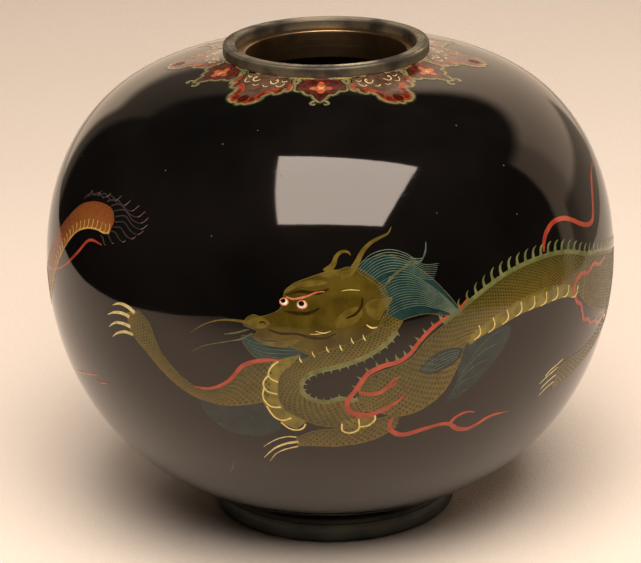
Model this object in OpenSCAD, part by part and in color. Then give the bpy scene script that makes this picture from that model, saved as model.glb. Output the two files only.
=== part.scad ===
// Globular cloisonne vase, open at the mouth.
// Millimetres. +Z is up, the foot stands on Z = 0, and the front of the vase faces -Y.
// From the outside in, the wall is enamel coat, undercoat, copper and counter enamel.

/* [Body shape] */
// Greatest radius, at the belly
belly_r = 62.5; // [58:0.5:68]
// Height of the belly above the table
belly_z = 58.5; // [57.5:0.5:60]
// Rise of the shoulder curve above the belly
shoulder_h = 44.8; // [44:0.1:46]
// Drop of the base curve below the belly
base_h = 55.2; // [54.5:0.1:55.5]
// Fullness of the shoulder, where a smaller number is squarer
shoulder_full = 0.54; // [0.5:0.01:0.58]
// Fullness of the base
base_full = 0.78; // [0.74:0.01:0.82]
// How far the enamel climbs where it meets the mouth rim
neck_rise = 1.5; // [0.5:0.1:1.8]

/* [Wall] */
// Outer enamel coat, in which the picture lies
coat_t = 0.8; // [0.6:0.1:1]
// Clear undercoat that the wires stand on
undercoat_t = 0.4; // [0.3:0.1:0.5]
// Copper sheet
copper_t = 1.2; // [1:0.1:1.4]
// Counter enamel inside and under the base
counter_t = 0.6; // [0.4:0.1:0.8]
// Height of the brazed seam at the belly
seam_h = 0.4; // [0.2:0.1:0.8]

/* [Mouth] */
// Outer radius of the mouth rim
rim_r = 22.3; // [22.3:0.1:23]
// Height of the top of the mouth rim
rim_top = 106.3; // [105.8:0.1:107]
// Radius of the seat inside the rim
seat_r = 19.5; // [19:0.1:20]
// Radius of the throat
throat_r = 17.4; // [16:0.1:17.6]
// Height at which the throat sleeve ends inside the vase
throat_low = 98; // [96:0.5:99]

/* [Foot] */
// Outer radius of the foot ring on the table
foot_r = 27; // [26:0.1:28]
// Inner radius of the foot ring
foot_bore_r = 22.5; // [21:0.1:23]
// Height of the foot ring's shoulder
foot_h = 5.2; // [4.8:0.1:5.3]

/* [Picture] */
// Width of the wires that part the enamels
wire_w = 0.2; // [0.1:0.05:0.25]
// Number of repeats round the collar
repeats = 6; // [6]

/* [Hidden] */
$fn = 96;
copper_d = coat_t + undercoat_t;
counter_d = copper_d + copper_t;
inside_d = counter_d + counter_t;
edge_r = 22;
sleeve_r = 18.5;
fillet = 1;
low_t = -72.5;
turn_step = 0.05;
base_turns = [low_t, -68, -63, -57, -51, -45, -38, -31, -23, -15, -7];
shoulder_turns = [7, 15, 23, 31, 38, 45, 51, 57, 63, 68, 72, 75, 77, 78.5, 79.7, 80.7, 81.5];
last_t = shoulder_turns[len(shoulder_turns) - 1];
floor_z = skin(low_t, copper_d)[1];
copper_top = skin(last_t, copper_d)[1];
copper_under = copper_top - copper_t;
// The seat's ledge stands this little above the edge of the enamel, which it holds down
ledge = 0.05;
seat_z = body_point(last_t)[1] + ledge;
fillet_hollow = 0.35;
thinnest = 0.06;
collar_low = 90;
collar_high = 110;

// The curve of the body, by the angle t from -90 at the base through 0 at the belly
function body_point(t) = t < 0
    ? [belly_r * pow(cos(t), base_full), belly_z + base_h * sin(t)]
    : let (r = belly_r * pow(cos(t), shoulder_full))
      [r, belly_z + shoulder_h * sin(t) + neck_rise * exp((edge_r - r) / 1.7)];

// The same curve, a depth d under the surface
function skin(t, d) =
    let (v = body_point(t + turn_step) - body_point(t - turn_step), n = [v[1], -v[0]] / norm(v))
    body_point(t) - d * n;

function body_r(z) =
    let (up = z > belly_z, x = min(0.99, abs(z - belly_z) / (up ? shoulder_h : base_h)))
    belly_r * pow(1 - x * x, (up ? shoulder_full : base_full) / 2);

function reversed(q) = [for (i = [len(q) - 1 : -1 : 0]) q[i]];

function total(v) = v * [for (x = v) 1];

// A smooth curve through a few points, n steps to each span
function knot(q, i, closed) =
    closed ? q[(i + len(q)) % len(q)] : q[max(0, min(len(q) - 1, i))];
function mixed(a, b, c, d, t) = 0.5 * (2 * b + (c - a) * t
    + (2 * a - 5 * b + 4 * c - d) * t * t + (3 * b - a - 3 * c + d) * t * t * t);
function smooth(q, n, closed) = [
    for (i = [0 : len(q) - (closed ? 1 : 2)]) for (k = [0 : n - 1])
        mixed(knot(q, i - 1, closed), knot(q, i, closed), knot(q, i + 1, closed),
            knot(q, i + 2, closed), k / n),
    if (!closed) q[len(q) - 1]];

// A point of a drawn line, moved sideways by d
function aside(q, i, d, closed) =
    let (a = knot(q, i - 1, closed), b = knot(q, i + 1, closed), v = [b[0] - a[0], b[1] - a[1]])
    [q[i][0], q[i][1]] + d * [v[1], -v[0]] / norm(v);

// Twice the area of a closed line, positive when it runs anticlockwise
function winding(q) = total([for (i = [0 : len(q) - 1])
    let (b = knot(q, i + 1, true)) q[i][0] * b[1] - b[0] * q[i][1]]);

// A closed line drawn in by an inset
function inner_line(q, inset) =
    let (d = winding(q) > 0 ? -inset : inset) [for (i = [0 : len(q) - 1]) aside(q, i, d, true)];

// Both edges of a tapering line, whose points hold half its width as a third number
function both_edges(q, inset) = concat(
    [for (i = [0 : len(q) - 1]) aside(q, i, max(thinnest, q[i][2] - inset), false)],
    [for (i = [len(q) - 1 : -1 : 0]) aside(q, i, -max(thinnest, q[i][2] - inset), false)]);

// The picture is drawn as [azimuth, height], and flattened to the plane that $facing looks at
function flat(p) = [body_r(p[1]) * sin(p[0] - $facing), p[1], len(p) > 2 ? p[2] : 0];

// The collar is drawn as [azimuth, radius], seen from above
function from_above(p) = [p[1] * sin(p[0]), -p[1] * cos(p[0])];

module patch(q, inset = 0) {
    polygon(inner_line(smooth([for (p = q) flat(p)], 3, true), inset));
}

module line(q, inset = 0) {
    polygon(both_edges(smooth([for (p = q) flat(p)], 3, false), inset));
}

// The wires along both edges of a tapering line
module edge_wires(q) {
    s = smooth([for (p = q) flat(p)], 3, false);
    for (side = [-1, 1])
        polygon(concat([for (i = [0 : len(s) - 1]) aside(s, i, side * s[i][2], false)],
            reversed([for (i = [0 : len(s) - 1]) aside(s, i, side * (s[i][2] - wire_w), false)])));
}

// A row of pointed teeth along a line, standing to the left of its run
module teeth(q, tall) {
    s = smooth([for (p = q) flat(p)], 3, false);
    for (i = [0 : len(s) - 2]) {
        along = [s[i + 1][0] - s[i][0], s[i + 1][1] - s[i][1]];
        foot = [s[i][0], s[i][1]];
        rise = [-along[1], along[0]] / norm(along);
        polygon([foot + along * 0.08, foot + along * 0.92, foot + along * 0.5 + rise * tall]);
    }
}

// Carries a flat drawing through the wall of the vase on the side that it faces
module panel(az) {
    $facing = az;
    rotate([0, 0, az])
        rotate([90, 0, 0])
            linear_extrude(belly_r + 1)
                children();
}

module shell(from_d, to_d, turns) {
    rotate_extrude()
        polygon(concat([for (t = turns) skin(t, from_d)],
            reversed([for (t = turns) skin(t, to_d)])));
}

module coat() {
    all_turns = concat(base_turns, [0], shoulder_turns);
    shell(0, coat_t, all_turns);
}

// A flat drawing, as enamel or wire that fills the thickness of the coat
module inlay(az) {
    intersection() {
        coat();
        panel(az)
            children();
    }
}

// ---------------------------------------------------------------- metal parts

// Turned brass ring that the vase stands on
module foot_ring() {
    edge = 0.5;
    swell = 0.15;
    tread = 1.7;
    wall = 1.6;
    color("#3c3a33")
        rotate_extrude()
            polygon([[foot_bore_r, edge], [foot_bore_r + edge, 0], [foot_r - edge, 0],
                [foot_r, edge], [foot_r + swell, foot_h * 0.3],
                [foot_r + swell, foot_h * 0.6], [foot_r - swell, foot_h * 0.8],
                [foot_r - tread / 2, foot_h - edge / 2], [foot_r - tread, foot_h],
                [foot_bore_r + wall, foot_h], [foot_bore_r + wall, floor_z],
                [foot_bore_r, floor_z]]);
}

// Fillet of solder that holds the ring to the copper floor
module foot_solder() {
    color("#8d8f8b")
        rotate_extrude()
            polygon([[foot_bore_r, floor_z], [foot_bore_r, floor_z - fillet],
                [foot_bore_r - fillet * fillet_hollow, floor_z - fillet * fillet_hollow],
                [foot_bore_r - fillet, floor_z]]);
}

// Raised copper bowl, the lower half of the body and its floor
module copper_bowl() {
    low = belly_z - seam_h / 2;
    color("#a5613a")
        rotate_extrude()
            polygon(concat([[0, floor_z]], [for (t = base_turns) skin(t, copper_d)],
                [[belly_r - copper_d, low], [belly_r - counter_d, low]],
                reversed([for (t = base_turns) if (t > low_t) skin(t, counter_d)]),
                [[skin(low_t, counter_d)[0], floor_z + copper_t], [0, floor_z + copper_t]]));
}

// Seam of hard solder between the two halves
module belly_braze() {
    color("#b9a56b")
        rotate_extrude()
            polygon([[belly_r - counter_d, belly_z - seam_h / 2],
                [belly_r - copper_d, belly_z - seam_h / 2],
                [belly_r - copper_d, belly_z + seam_h / 2],
                [belly_r - counter_d, belly_z + seam_h / 2]]);
}

// Raised copper dome, the upper half of the body, turned in round the throat
module copper_dome() {
    high = belly_z + seam_h / 2;
    color("#a5613a")
        rotate_extrude()
            polygon(concat([[belly_r - counter_d, high], [belly_r - copper_d, high]],
                [for (t = shoulder_turns) skin(t, copper_d)],
                [[sleeve_r, copper_top], [sleeve_r, copper_under]],
                reversed([for (t = shoulder_turns) skin(t, counter_d)])));
}

// Turned sleeve that lines the throat. Its flange lies on the copper, under the rim
module throat_sleeve() {
    color("#7b5a36")
        rotate_extrude()
            polygon([[throat_r, throat_low], [sleeve_r, throat_low], [sleeve_r, copper_top],
                skin(last_t, copper_d), body_point(last_t), [body_point(last_t)[0], seat_z],
                [throat_r, seat_z]]);
}

// Turned ring that covers the enamel's edge, ridged on top
module mouth_rim() {
    ridges = 4;
    corner = 0.3;
    land = 0.2;
    groove = 0.12;
    pitch = (rim_r - corner - seat_r - land) / ridges;
    color("#6d6a5e")
        rotate_extrude()
            polygon(concat([[seat_r, seat_z], [rim_r, seat_z],
                [rim_r, rim_top - corner], [rim_r - corner, rim_top]],
                [for (k = [0 : ridges - 1]) each [
                    [rim_r - corner - pitch * (k + 0.5), rim_top - groove],
                    [rim_r - corner - pitch * (k + 1), rim_top]]],
                [[seat_r, rim_top - land]]));
}

// Fillet of solder between the sleeve and the underside of the copper
module rim_solder() {
    color("#8d8f8b")
        rotate_extrude()
            polygon([[sleeve_r, copper_under], [sleeve_r, copper_under - fillet],
                [sleeve_r + fillet * fillet_hollow, copper_under - fillet * fillet_hollow],
                [sleeve_r + fillet, copper_under]]);
}

// ---------------------------------------------------------------- plain enamels

// Brown counter enamel over the whole inside
module inner_counter_enamel() {
    edge = sleeve_r + fillet;
    bend_t = shoulder_turns[len(shoulder_turns) - 5];
    cove = 1.5;
    rising = concat(base_turns, [0], [for (t = shoulder_turns) if (t <= bend_t) t]);
    outside = concat([for (t = base_turns) if (t > low_t) skin(t, counter_d)],
        [[belly_r - counter_d, belly_z]], [for (t = shoulder_turns) skin(t, counter_d)]);
    inside = concat([for (t = rising) if (t > base_turns[1]) skin(t, inside_d)],
        [[skin(last_t, counter_d)[0], copper_under - counter_t]]);
    floor_top = floor_z + copper_t;
    color("#4a3524")
        rotate_extrude()
            polygon(concat([[0, floor_top], [skin(low_t, counter_d)[0], floor_top]], outside,
                [[edge, copper_under], [edge, copper_under - counter_t]], reversed(inside),
                [[skin(base_turns[1], inside_d)[0] - cove, floor_top + counter_t],
                [0, floor_top + counter_t]]));
}

// Dark counter enamel under the floor, inside the foot ring
module base_counter_enamel() {
    color("#23211f")
        translate([0, 0, floor_z - counter_t])
            cylinder(r = foot_bore_r - fillet, h = counter_t);
}

// Thin clear coat fired on the bare copper before the wires
module undercoat_enamel() {
    color("#6b4a35")
        shell(coat_t, copper_d, concat(base_turns, [0], shoulder_turns));
}

// ---------------------------------------------------------------- the collar

module round_collar() {
    for (k = [0 : repeats - 1])
        rotate([0, 0, k * 360 / repeats])
            children();
}

module collar_patch(q, inset) {
    polygon(inner_line([for (p = q) from_above(p)], inset));
}

// Broad lappet with a lobed tip, drawn about azimuth 27
module lappet(inset) {
    half = [[16.6, 22.1], [16.9, 25.9], [14.5, 27.6], [12, 28.6], [8.5, 29.2], [6.6, 30],
        [6.6, 31.4], [5.6, 32.9], [3, 34.2]];
    collar_patch(concat([for (p = reversed(half)) [27 - p[0], p[1]]],
        [for (a = [-12, -6, 0, 6, 12]) [27 + a, 22.1]],
        [for (p = half) [27 + p[0], p[1]]], [[27, 34.7]]), inset);
}

// Pointed cell that holds a flower, drawn about azimuth -3
module flower_cell(inset) {
    half = [[12.6, 22.1], [12.7, 25.9], [9.8, 27], [7, 27.7], [4.5, 29], [2, 31]];
    collar_patch(concat([for (p = reversed(half)) [-3 - p[0], p[1]]],
        [for (a = [-8, -4, 0, 4, 8]) [-3 + a, 22.1]],
        [for (p = half) [-3 + p[0], p[1]]], [[-3, 32]]), inset);
}

module flower(grow) {
    petals = 4;
    centre = from_above([-3, 25.2]);
    translate(centre)
        rotate(-3)
            for (k = [0 : petals - 1])
                rotate(45 + k * 360 / petals)
                    translate([1.25, 0])
                        circle(r = 1.15 + grow, $fn = 24);
}

module collar_slab() {
    translate([0, 0, collar_low])
        linear_extrude(collar_high - collar_low)
            children();
}

module collar_borders() {
    color("#a39a7c")
        intersection() {
            coat();
            collar_slab()
                round_collar() {
                    difference() {
                        lappet(wire_w);
                        lappet(wire_w + 0.9);
                    }
                    difference() {
                        flower_cell(wire_w);
                        flower_cell(wire_w + 0.7);
                    }
                }
        }
}

module collar_fields() {
    color("#8c4a35")
        intersection() {
            coat();
            collar_slab()
                round_collar() {
                    lappet(wire_w + 0.9);
                    difference() {
                        flower_cell(wire_w + 0.7);
                        flower(wire_w);
                    }
                }
        }
}

module collar_flowers() {
    color("#b5562c")
        intersection() {
            coat();
            collar_slab()
                round_collar()
                    flower(0);
        }
}

module collar_wires() {
    color("#c8a860")
        intersection() {
            coat();
            collar_slab()
                round_collar() {
                    difference() {
                        lappet(0);
                        lappet(wire_w);
                    }
                    difference() {
                        flower_cell(0);
                        flower_cell(wire_w);
                    }
                    difference() {
                        flower(wire_w);
                        flower(0);
                    }
                }
        }
}

// ---------------------------------------------------------------- the dragon

// Centre line of the body from behind the right flank to the left, with half its width
BODY_LINE = [[66, 59, 6.2], [75, 56, 6.6], [88, 52.5, 7], [102, 50.5, 7.2], [118, 52, 7.2],
    [134, 57, 7], [150, 61.5, 6.6], [167, 63, 6.2], [184, 60.5, 5.9], [201, 55.5, 5.6],
    [218, 51.5, 5.2], [235, 50.5, 4.8], [252, 52, 4.5], [268, 54, 4.2], [279, 56.5, 4]];
BACK_CELLS = [[0, 3], [3, 5], [5, 7], [7, 9], [9, 11], [11, 14]];
cell_gap = 1.2;

// One stretch of the body line, ending short so that a wire fits between two stretches
function stretch(cell) = [for (i = [cell[0] : cell[1]]) let (p = BODY_LINE[i])
    [p[0] + (i == cell[0] ? cell_gap / 2 : i == cell[1] ? -cell_gap / 2 : 0), p[1], p[2]]];

function cell_facing(cell) = (BODY_LINE[cell[0]][0] + BODY_LINE[cell[1]][0]) / 2;

// The stretch moved up or down, with another width
function beside(cell, lift, w) = [for (p = stretch(cell)) [p[0], p[1] + lift, w]];

// Neck, looped round a gap
module neck_art(inset) {
    patch([[9.4, 63.4], [6.4, 61.4], [0, 59.2], [-5, 57.2], [-8, 55.6], [-10, 53.2],
        [-10.7, 50.2], [-10.3, 46.8], [-7.9, 44.4], [-5.6, 42.9], [-3.5, 40.9], [0.2, 40.7],
        [1.3, 42], [2.4, 42.8], [2.1, 44.4], [1.5, 46.6], [1.8, 48.4], [0, 47.2],
        [-3.5, 47.4], [-5.9, 49.5], [-6, 51.8], [-3.5, 54], [1, 55.3], [6, 57], [10, 60.2],
        [11, 62.8]], inset);
}

// Shoulder and flank, up to the seam on the right
module shoulder_art(inset) {
    patch([[6.3, 50.4], [7.3, 52.8], [9.4, 53.9], [12.4, 54.6], [15, 56.4], [16.9, 59],
        [18.9, 60.8], [21.8, 62.6], [25, 63.6], [26.6, 65.8], [32, 68.8], [38, 70.2],
        [44.2, 70.4], [44.6, 68], [44.2, 65.6], [39, 65.4], [33, 64], [28.5, 61.9],
        [24.5, 59.6], [24, 53], [21.5, 48], [16.5, 44], [12.6, 43.2], [11.8, 45.6],
        [10.2, 46.3], [8, 45.3], [5.8, 44.9], [4.6, 46], [4.5, 47.6], [5.8, 49.2]], inset);
}

LEFT_FORELEG = [[-14.4, 50.4, 4], [-17, 49.8, 3.2], [-19.5, 48.3, 2.1], [-22, 47.3, 1.5],
    [-24.5, 47, 1.2], [-27, 47.5, 1.4], [-31.5, 50.6, 1.7], [-35.2, 54, 1.7],
    [-37.6, 57.2, 1.8], [-39.4, 60, 2.2]];
RIGHT_FORELEG = [[9.2, 39.6, 1.2], [6, 38.5, 1.3], [0, 38, 1.5], [-5, 37.7, 1.4],
    [-7.4, 37.4, 1.1]];

module hide_art(inset) {
    neck_art(inset);
    shoulder_art(inset);
    line(LEFT_FORELEG, inset);
    line(RIGHT_FORELEG, inset);
}

module head_art(inset) {
    patch([[-15.7, 63.6], [-13.6, 66.2], [-10.6, 67], [-8.8, 70.4], [-5, 73], [0, 75],
        [4, 75.4], [8, 73.6], [9.3, 69.5], [8.2, 65], [6, 62.2], [0, 60], [-4, 58.6],
        [-9, 59.8], [-12.5, 61.6]], inset);
}

CREST_LOCK = [[3, 75.2, 0.6], [6, 76.6, 1.3], [9.7, 77, 1.4], [13.5, 76.3, 1.2],
    [17, 74.8, 0.8], [20.5, 73.6, 0.3]];
FEELER = [[1.8, 76, 0.3], [4.4, 78.2, 0.45], [8, 80.5, 0.4], [12, 81.8, 0.25]];

module mane_patches(inset) {
    patch([[8.8, 72.4], [11, 73.8], [14.2, 73.9], [17.5, 72.4], [20, 70], [22.3, 66.5],
        [24.4, 63.8], [22, 63.8], [16, 64.8], [12, 64], [9.4, 64.2], [10.4, 68]], inset);
    patch([[-17, 61], [-15, 58.8], [-12.4, 57.5], [-8.4, 57.3], [-5, 58.3], [-6, 60.4],
        [-10, 61.4], [-13.5, 61.8]], inset);
    patch([[25.6, 57.2], [30, 58.6], [34, 57.6], [33, 54.6], [30, 51.6], [27, 48],
        [25, 50.5]], inset);
}

module mane_art(inset) {
    mane_patches(inset);
    line(CREST_LOCK, inset);
    line(FEELER, inset);
}

module fins_art() {
    // Inside of the neck loop
    teeth([[-4.2, 52.7], [-1, 54.2], [2.5, 55], [6, 56.3], [8.8, 58.2]], -1.1);
    teeth([[1.4, 48.6], [0, 48], [-2, 47.7], [-4, 48.5]], -1);
    // Along the back
    teeth([[26, 66.4], [28.5, 67.7], [32, 69.3], [36, 70.3], [40, 70.9], [44, 71]], 1.8);
}

module plates_art(inset) {
    line([[-9.8, 55.8, 0.9], [-12.3, 53.6, 1.2], [-12.7, 50.6, 1.3], [-12.6, 47.8, 1.3],
        [-11.4, 45, 1.2], [-9.4, 42.8, 1.1], [-6.8, 41.4, 0.9]], inset);
    line([[1.4, 40.8, 0.7], [4.4, 41.4, 1.1], [7.2, 43, 0.8]], inset);
    line([[25, 58.6, 0.7], [29, 60.9, 0.9], [34, 62.7, 1], [39.5, 63.9, 1.1],
        [44.2, 64.1, 1.1]], inset);
}

module flames_art(inset) {
    line([[20.9, 63.2, 0.35], [18, 61.3, 0.5], [15.8, 59, 0.5], [14.2, 56.9, 0.5],
        [12, 55.5, 0.5], [9, 54.9, 0.5], [6.6, 53.6, 0.5], [5.3, 51.7, 0.5],
        [4.6, 49.9, 0.5], [3.1, 48, 0.5], [2.6, 46.2, 0.55], [3.5, 44.4, 0.6],
        [5.8, 43.8, 0.6], [8.5, 44.3, 0.5], [10.8, 45.5, 0.4]], inset);
    line([[11.2, 42.4, 0.3], [10.6, 40.7, 0.5], [11.5, 39, 0.6], [14, 38.2, 0.6],
        [17.5, 38.9, 0.55], [21, 39.6, 0.5], [23.6, 39.2, 0.6], [25.6, 37.4, 0.6],
        [27.8, 36.9, 0.6], [30, 37.6, 0.55], [32, 38.7, 0.5], [34.5, 39, 0.4],
        [37.5, 38.3, 0.2]], inset);
    line([[24.2, 39.6, 0.4], [25.4, 40.9, 0.4], [27, 41.4, 0.35], [28.6, 40.9, 0.2]], inset);
    line([[-11.8, 56.4, 0.3], [-14.6, 55.9, 0.5], [-17.3, 54.6, 0.5], [-19.5, 51.6, 0.5],
        [-22, 49.8, 0.45], [-24.5, 48.9, 0.4], [-27.5, 49.6, 0.3]], inset);
}

CLAW_TIPS = [[-41.4, 63], [-42.9, 61.3], [-42.9, 59.2], [-42.6, 57.4]];

module claws_art(inset) {
    for (tip = CLAW_TIPS)
        line([[tip[0], tip[1], 0.35], [tip[0] - 2.2, tip[1] + 0.2, 0.4],
            [tip[0] - 4.2, tip[1] - 0.5, 0.35], [tip[0] - 5.6, tip[1] - 1.6, 0.2]], inset);
    for (drop = [0, 1.4, 2.8])
        line([[-8.2 - drop / 4, 38.8 - drop, 0.35], [-10.4, 38.2 - drop, 0.4],
            [-13, 36.7 - drop, 0.35], [-14.8, 34.5 - drop, 0.2]], inset);
}

module eyes_art() {
    for (eye = [[-8.8, 68.8, 0.75], [-5.5, 68.4, 0.9]])
        translate([flat(eye)[0], eye[1]])
            circle(r = eye[2], $fn = 24);
}

// The upper flame and the claws of the hind foot, on the right
module right_flames_art(inset) {
    line([[46.4, 72.6, 0.35], [47, 74.5, 0.5], [49, 76.3, 0.55], [52, 76.8, 0.6],
        [55.5, 75.8, 0.6], [60, 73.6, 0.6], [63.5, 72.4, 0.6], [66.5, 73, 0.6],
        [69, 76, 0.5], [73, 78.6, 0.4], [76, 79.3, 0.2]], inset);
}

module right_claws_art(inset) {
    for (drop = [0, 1.6, 3.2])
        line([[50, 44.4 - drop, 0.35], [48, 43.9 - drop, 0.4], [45.6, 42.6 - drop, 0.2]], inset);
}

module right_hide_art(inset) {
    patch([[45.8, 70.4], [51, 69.8], [57, 68], [62, 65.6], [65.2, 62], [65.2, 52.6],
        [62, 53.4], [58, 56.6], [54.6, 61.4], [51, 64.6], [45.8, 65.6]], inset);
}

module right_fins_art() {
    teeth([[46, 70.9], [51, 70.4], [57, 68.6], [62, 66.2]], 1.8);
}

module right_plates_art(inset) {
    line([[45.8, 64.1, 1.1], [49.4, 63.3, 1], [52.4, 61.4, 0.8]], inset);
}

// The end of the tail, on the left, with its flames
module tail_art(inset) {
    patch([[-69, 74], [-64.8, 78], [-60, 80.2], [-54.5, 81], [-50, 79.7], [-49, 77.8],
        [-50.4, 76.2], [-57.2, 75.5], [-62, 73.6], [-65.6, 70.5], [-68.5, 65.5], [-73, 60],
        [-78, 56.6], [-79.4, 60.4], [-74, 66]], inset);
}

module tail_flames_art(inset) {
    line([[-70, 62.6, 0.3], [-66, 65, 0.5], [-61.6, 69.6, 0.6], [-58, 72.4, 0.6],
        [-54.5, 73.4, 0.5], [-51.4, 74.2, 0.3]], inset);
    line([[-68, 39.4, 0.3], [-64, 41, 0.5], [-59, 42.7, 0.5], [-55, 41.8, 0.4],
        [-51.5, 43.3, 0.3]], inset);
}

// Everything on the front that lies over the hide, from the lowest up
module over_hide() {
    head_art(0);
    over_head();
}

module over_head() {
    plates_art(0);
    fins_art();
    over_fins();
}

module over_fins() {
    mane_art(0);
    over_mane();
}

module over_mane() {
    flames_art(0);
    claws_art(0);
    eyes_art();
}

// The whole outline of the picture, cut through the ground
module picture() {
    panel(0) {
        hide_art(0);
        over_hide();
    }
    panel(60) {
        right_hide_art(0);
        right_flames_art(0);
        right_claws_art(0);
        right_fins_art();
        right_plates_art(0);
    }
    panel(-60) {
        tail_art(0);
        tail_flames_art(0);
    }
    for (cell = BACK_CELLS)
        panel(cell_facing(cell)) {
            line(stretch(cell), 0);
            line(beside(cell, 7.4, 0.6), 0);
        }
}

// Black enamel round the picture and the collar
module ground_enamel() {
    color("#15130f")
        difference() {
            coat();
            picture();
            collar_slab()
                round_collar() {
                    lappet(0);
                    flower_cell(0);
                }
        }
}

module dragon_hide() {
    color("#6f6433") {
        inlay(0)
            hide_art(wire_w);
        inlay(60)
            right_hide_art(wire_w);
        for (cell = BACK_CELLS)
            inlay(cell_facing(cell))
                line(stretch(cell), wire_w);
    }
}

module dragon_head() {
    color("#7d6a2d")
        inlay(0)
            difference() {
                head_art(wire_w);
                over_head();
            }
}

module dragon_mane() {
    color("#48615a")
        inlay(0)
            difference() {
                mane_art(wire_w);
                over_mane();
            }
}

module back_fins() {
    color("#9b9467") {
        inlay(0)
            difference() {
                fins_art();
                over_fins();
            }
        inlay(60)
            right_fins_art();
        for (cell = BACK_CELLS)
            inlay(cell_facing(cell))
                difference() {
                    line(beside(cell, 7.4, 0.6), 0);
                    line(stretch(cell), 0);
                }
    }
}

module belly_plates() {
    color("#93802f") {
        inlay(0)
            difference() {
                plates_art(wire_w);
                fins_art();
                over_fins();
            }
        inlay(60)
            right_plates_art(wire_w);
    }
}

module red_flames() {
    color("#a8452f") {
        inlay(0)
            flames_art(wire_w);
        inlay(60)
            difference() {
                right_flames_art(wire_w);
                right_fins_art();
            }
        inlay(-60)
            tail_flames_art(wire_w);
    }
}

module claws() {
    color("#e6dfc6") {
        inlay(0)
            difference() {
                claws_art(wire_w);
                flames_art(0);
            }
        inlay(60)
            right_claws_art(wire_w);
    }
}

module eyes() {
    color("#e9e4d4")
        inlay(0)
            eyes_art();
}

module tail_hide() {
    color("#9a6234")
        inlay(-60)
            difference() {
                tail_art(wire_w);
                tail_flames_art(0);
            }
}

// Copper wire, bent along the edges of the picture and set on edge in the coat
module dragon_wires() {
    color("#c8a860") {
        inlay(0)
            difference() {
                neck_art(0);
                neck_art(wire_w);
            }
        inlay(0)
            difference() {
                shoulder_art(0);
                shoulder_art(wire_w);
            }
        for (strip = [LEFT_FORELEG, RIGHT_FORELEG, CREST_LOCK, FEELER])
            inlay(0)
                edge_wires(strip);
        inlay(0)
            difference() {
                head_art(0);
                head_art(wire_w);
                over_head();
            }
        inlay(0)
            difference() {
                mane_patches(0);
                mane_patches(wire_w);
                over_mane();
            }
        inlay(60)
            difference() {
                right_hide_art(0);
                right_hide_art(wire_w);
            }
        inlay(-60)
            difference() {
                tail_art(0);
                tail_art(wire_w);
                tail_flames_art(0);
            }
        for (cell = BACK_CELLS)
            inlay(cell_facing(cell))
                edge_wires(stretch(cell));
    }
}

foot_ring();
foot_solder();
copper_bowl();
belly_braze();
copper_dome();
throat_sleeve();
mouth_rim();
rim_solder();
inner_counter_enamel();
base_counter_enamel();
undercoat_enamel();
ground_enamel();
collar_borders();
collar_fields();
collar_flowers();
collar_wires();
dragon_hide();
dragon_head();
dragon_mane();
back_fins();
belly_plates();
red_flames();
claws();
eyes();
tail_hide();
dragon_wires();
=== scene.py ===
"""A low round cloisonne vase, dressed round its measured frame. Sizes are in millimetres until a
mesh is made, and in metres after that."""

import math

import bmesh
import bpy
from mathutils import Matrix, Vector, geometry


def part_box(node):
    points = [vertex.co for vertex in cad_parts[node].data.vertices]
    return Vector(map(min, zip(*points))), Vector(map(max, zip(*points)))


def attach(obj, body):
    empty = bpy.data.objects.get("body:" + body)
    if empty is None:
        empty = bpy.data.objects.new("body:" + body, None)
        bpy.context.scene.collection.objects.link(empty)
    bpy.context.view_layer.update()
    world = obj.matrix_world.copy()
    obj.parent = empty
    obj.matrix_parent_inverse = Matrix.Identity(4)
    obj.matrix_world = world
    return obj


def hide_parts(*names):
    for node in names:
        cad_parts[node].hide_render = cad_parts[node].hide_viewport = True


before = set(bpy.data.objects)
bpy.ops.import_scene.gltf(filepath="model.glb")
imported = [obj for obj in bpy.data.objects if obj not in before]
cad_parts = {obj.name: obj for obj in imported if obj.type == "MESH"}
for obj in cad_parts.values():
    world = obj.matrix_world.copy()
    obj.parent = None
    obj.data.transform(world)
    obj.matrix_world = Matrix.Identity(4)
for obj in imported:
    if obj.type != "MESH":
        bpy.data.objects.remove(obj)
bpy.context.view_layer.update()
MM = 0.001


# ---------------------------------------------------------------- copper body
# Two bowls raised from copper sheet, turned mouth to mouth and brazed at the belly. Enamel covers
# them inside and out, so only their hammered faces and the yellow seam are finished here.

class Amount:
    """A number that changes over a surface. Working with it adds Math nodes."""

    def __init__(self, finish, socket):
        self.finish, self.socket = finish, socket

    def worked(self, operation, *values):
        """A Math node on the values named, and on no others."""
        return self.finish.node("ShaderNodeMath", {"operation": operation}, dict(enumerate(values)))

    def __add__(self, other):
        return self.worked("ADD", self, other)

    __radd__ = __add__

    def __sub__(self, other):
        return self.worked("SUBTRACT", self, other)

    def __rsub__(self, other):
        return self.worked("SUBTRACT", other, self)

    def __mul__(self, other):
        return self.worked("MULTIPLY", self, other)

    __rmul__ = __mul__

    def __truediv__(self, other):
        return self.worked("DIVIDE", self, other)

    def between(self, low, high):
        """0 below low, 1 above high and a soft step in between."""
        return self.finish.node("ShaderNodeMapRange", {"interpolation_type": "SMOOTHSTEP"},
                                {"Value": self, "From Min": low, "From Max": high})


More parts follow.
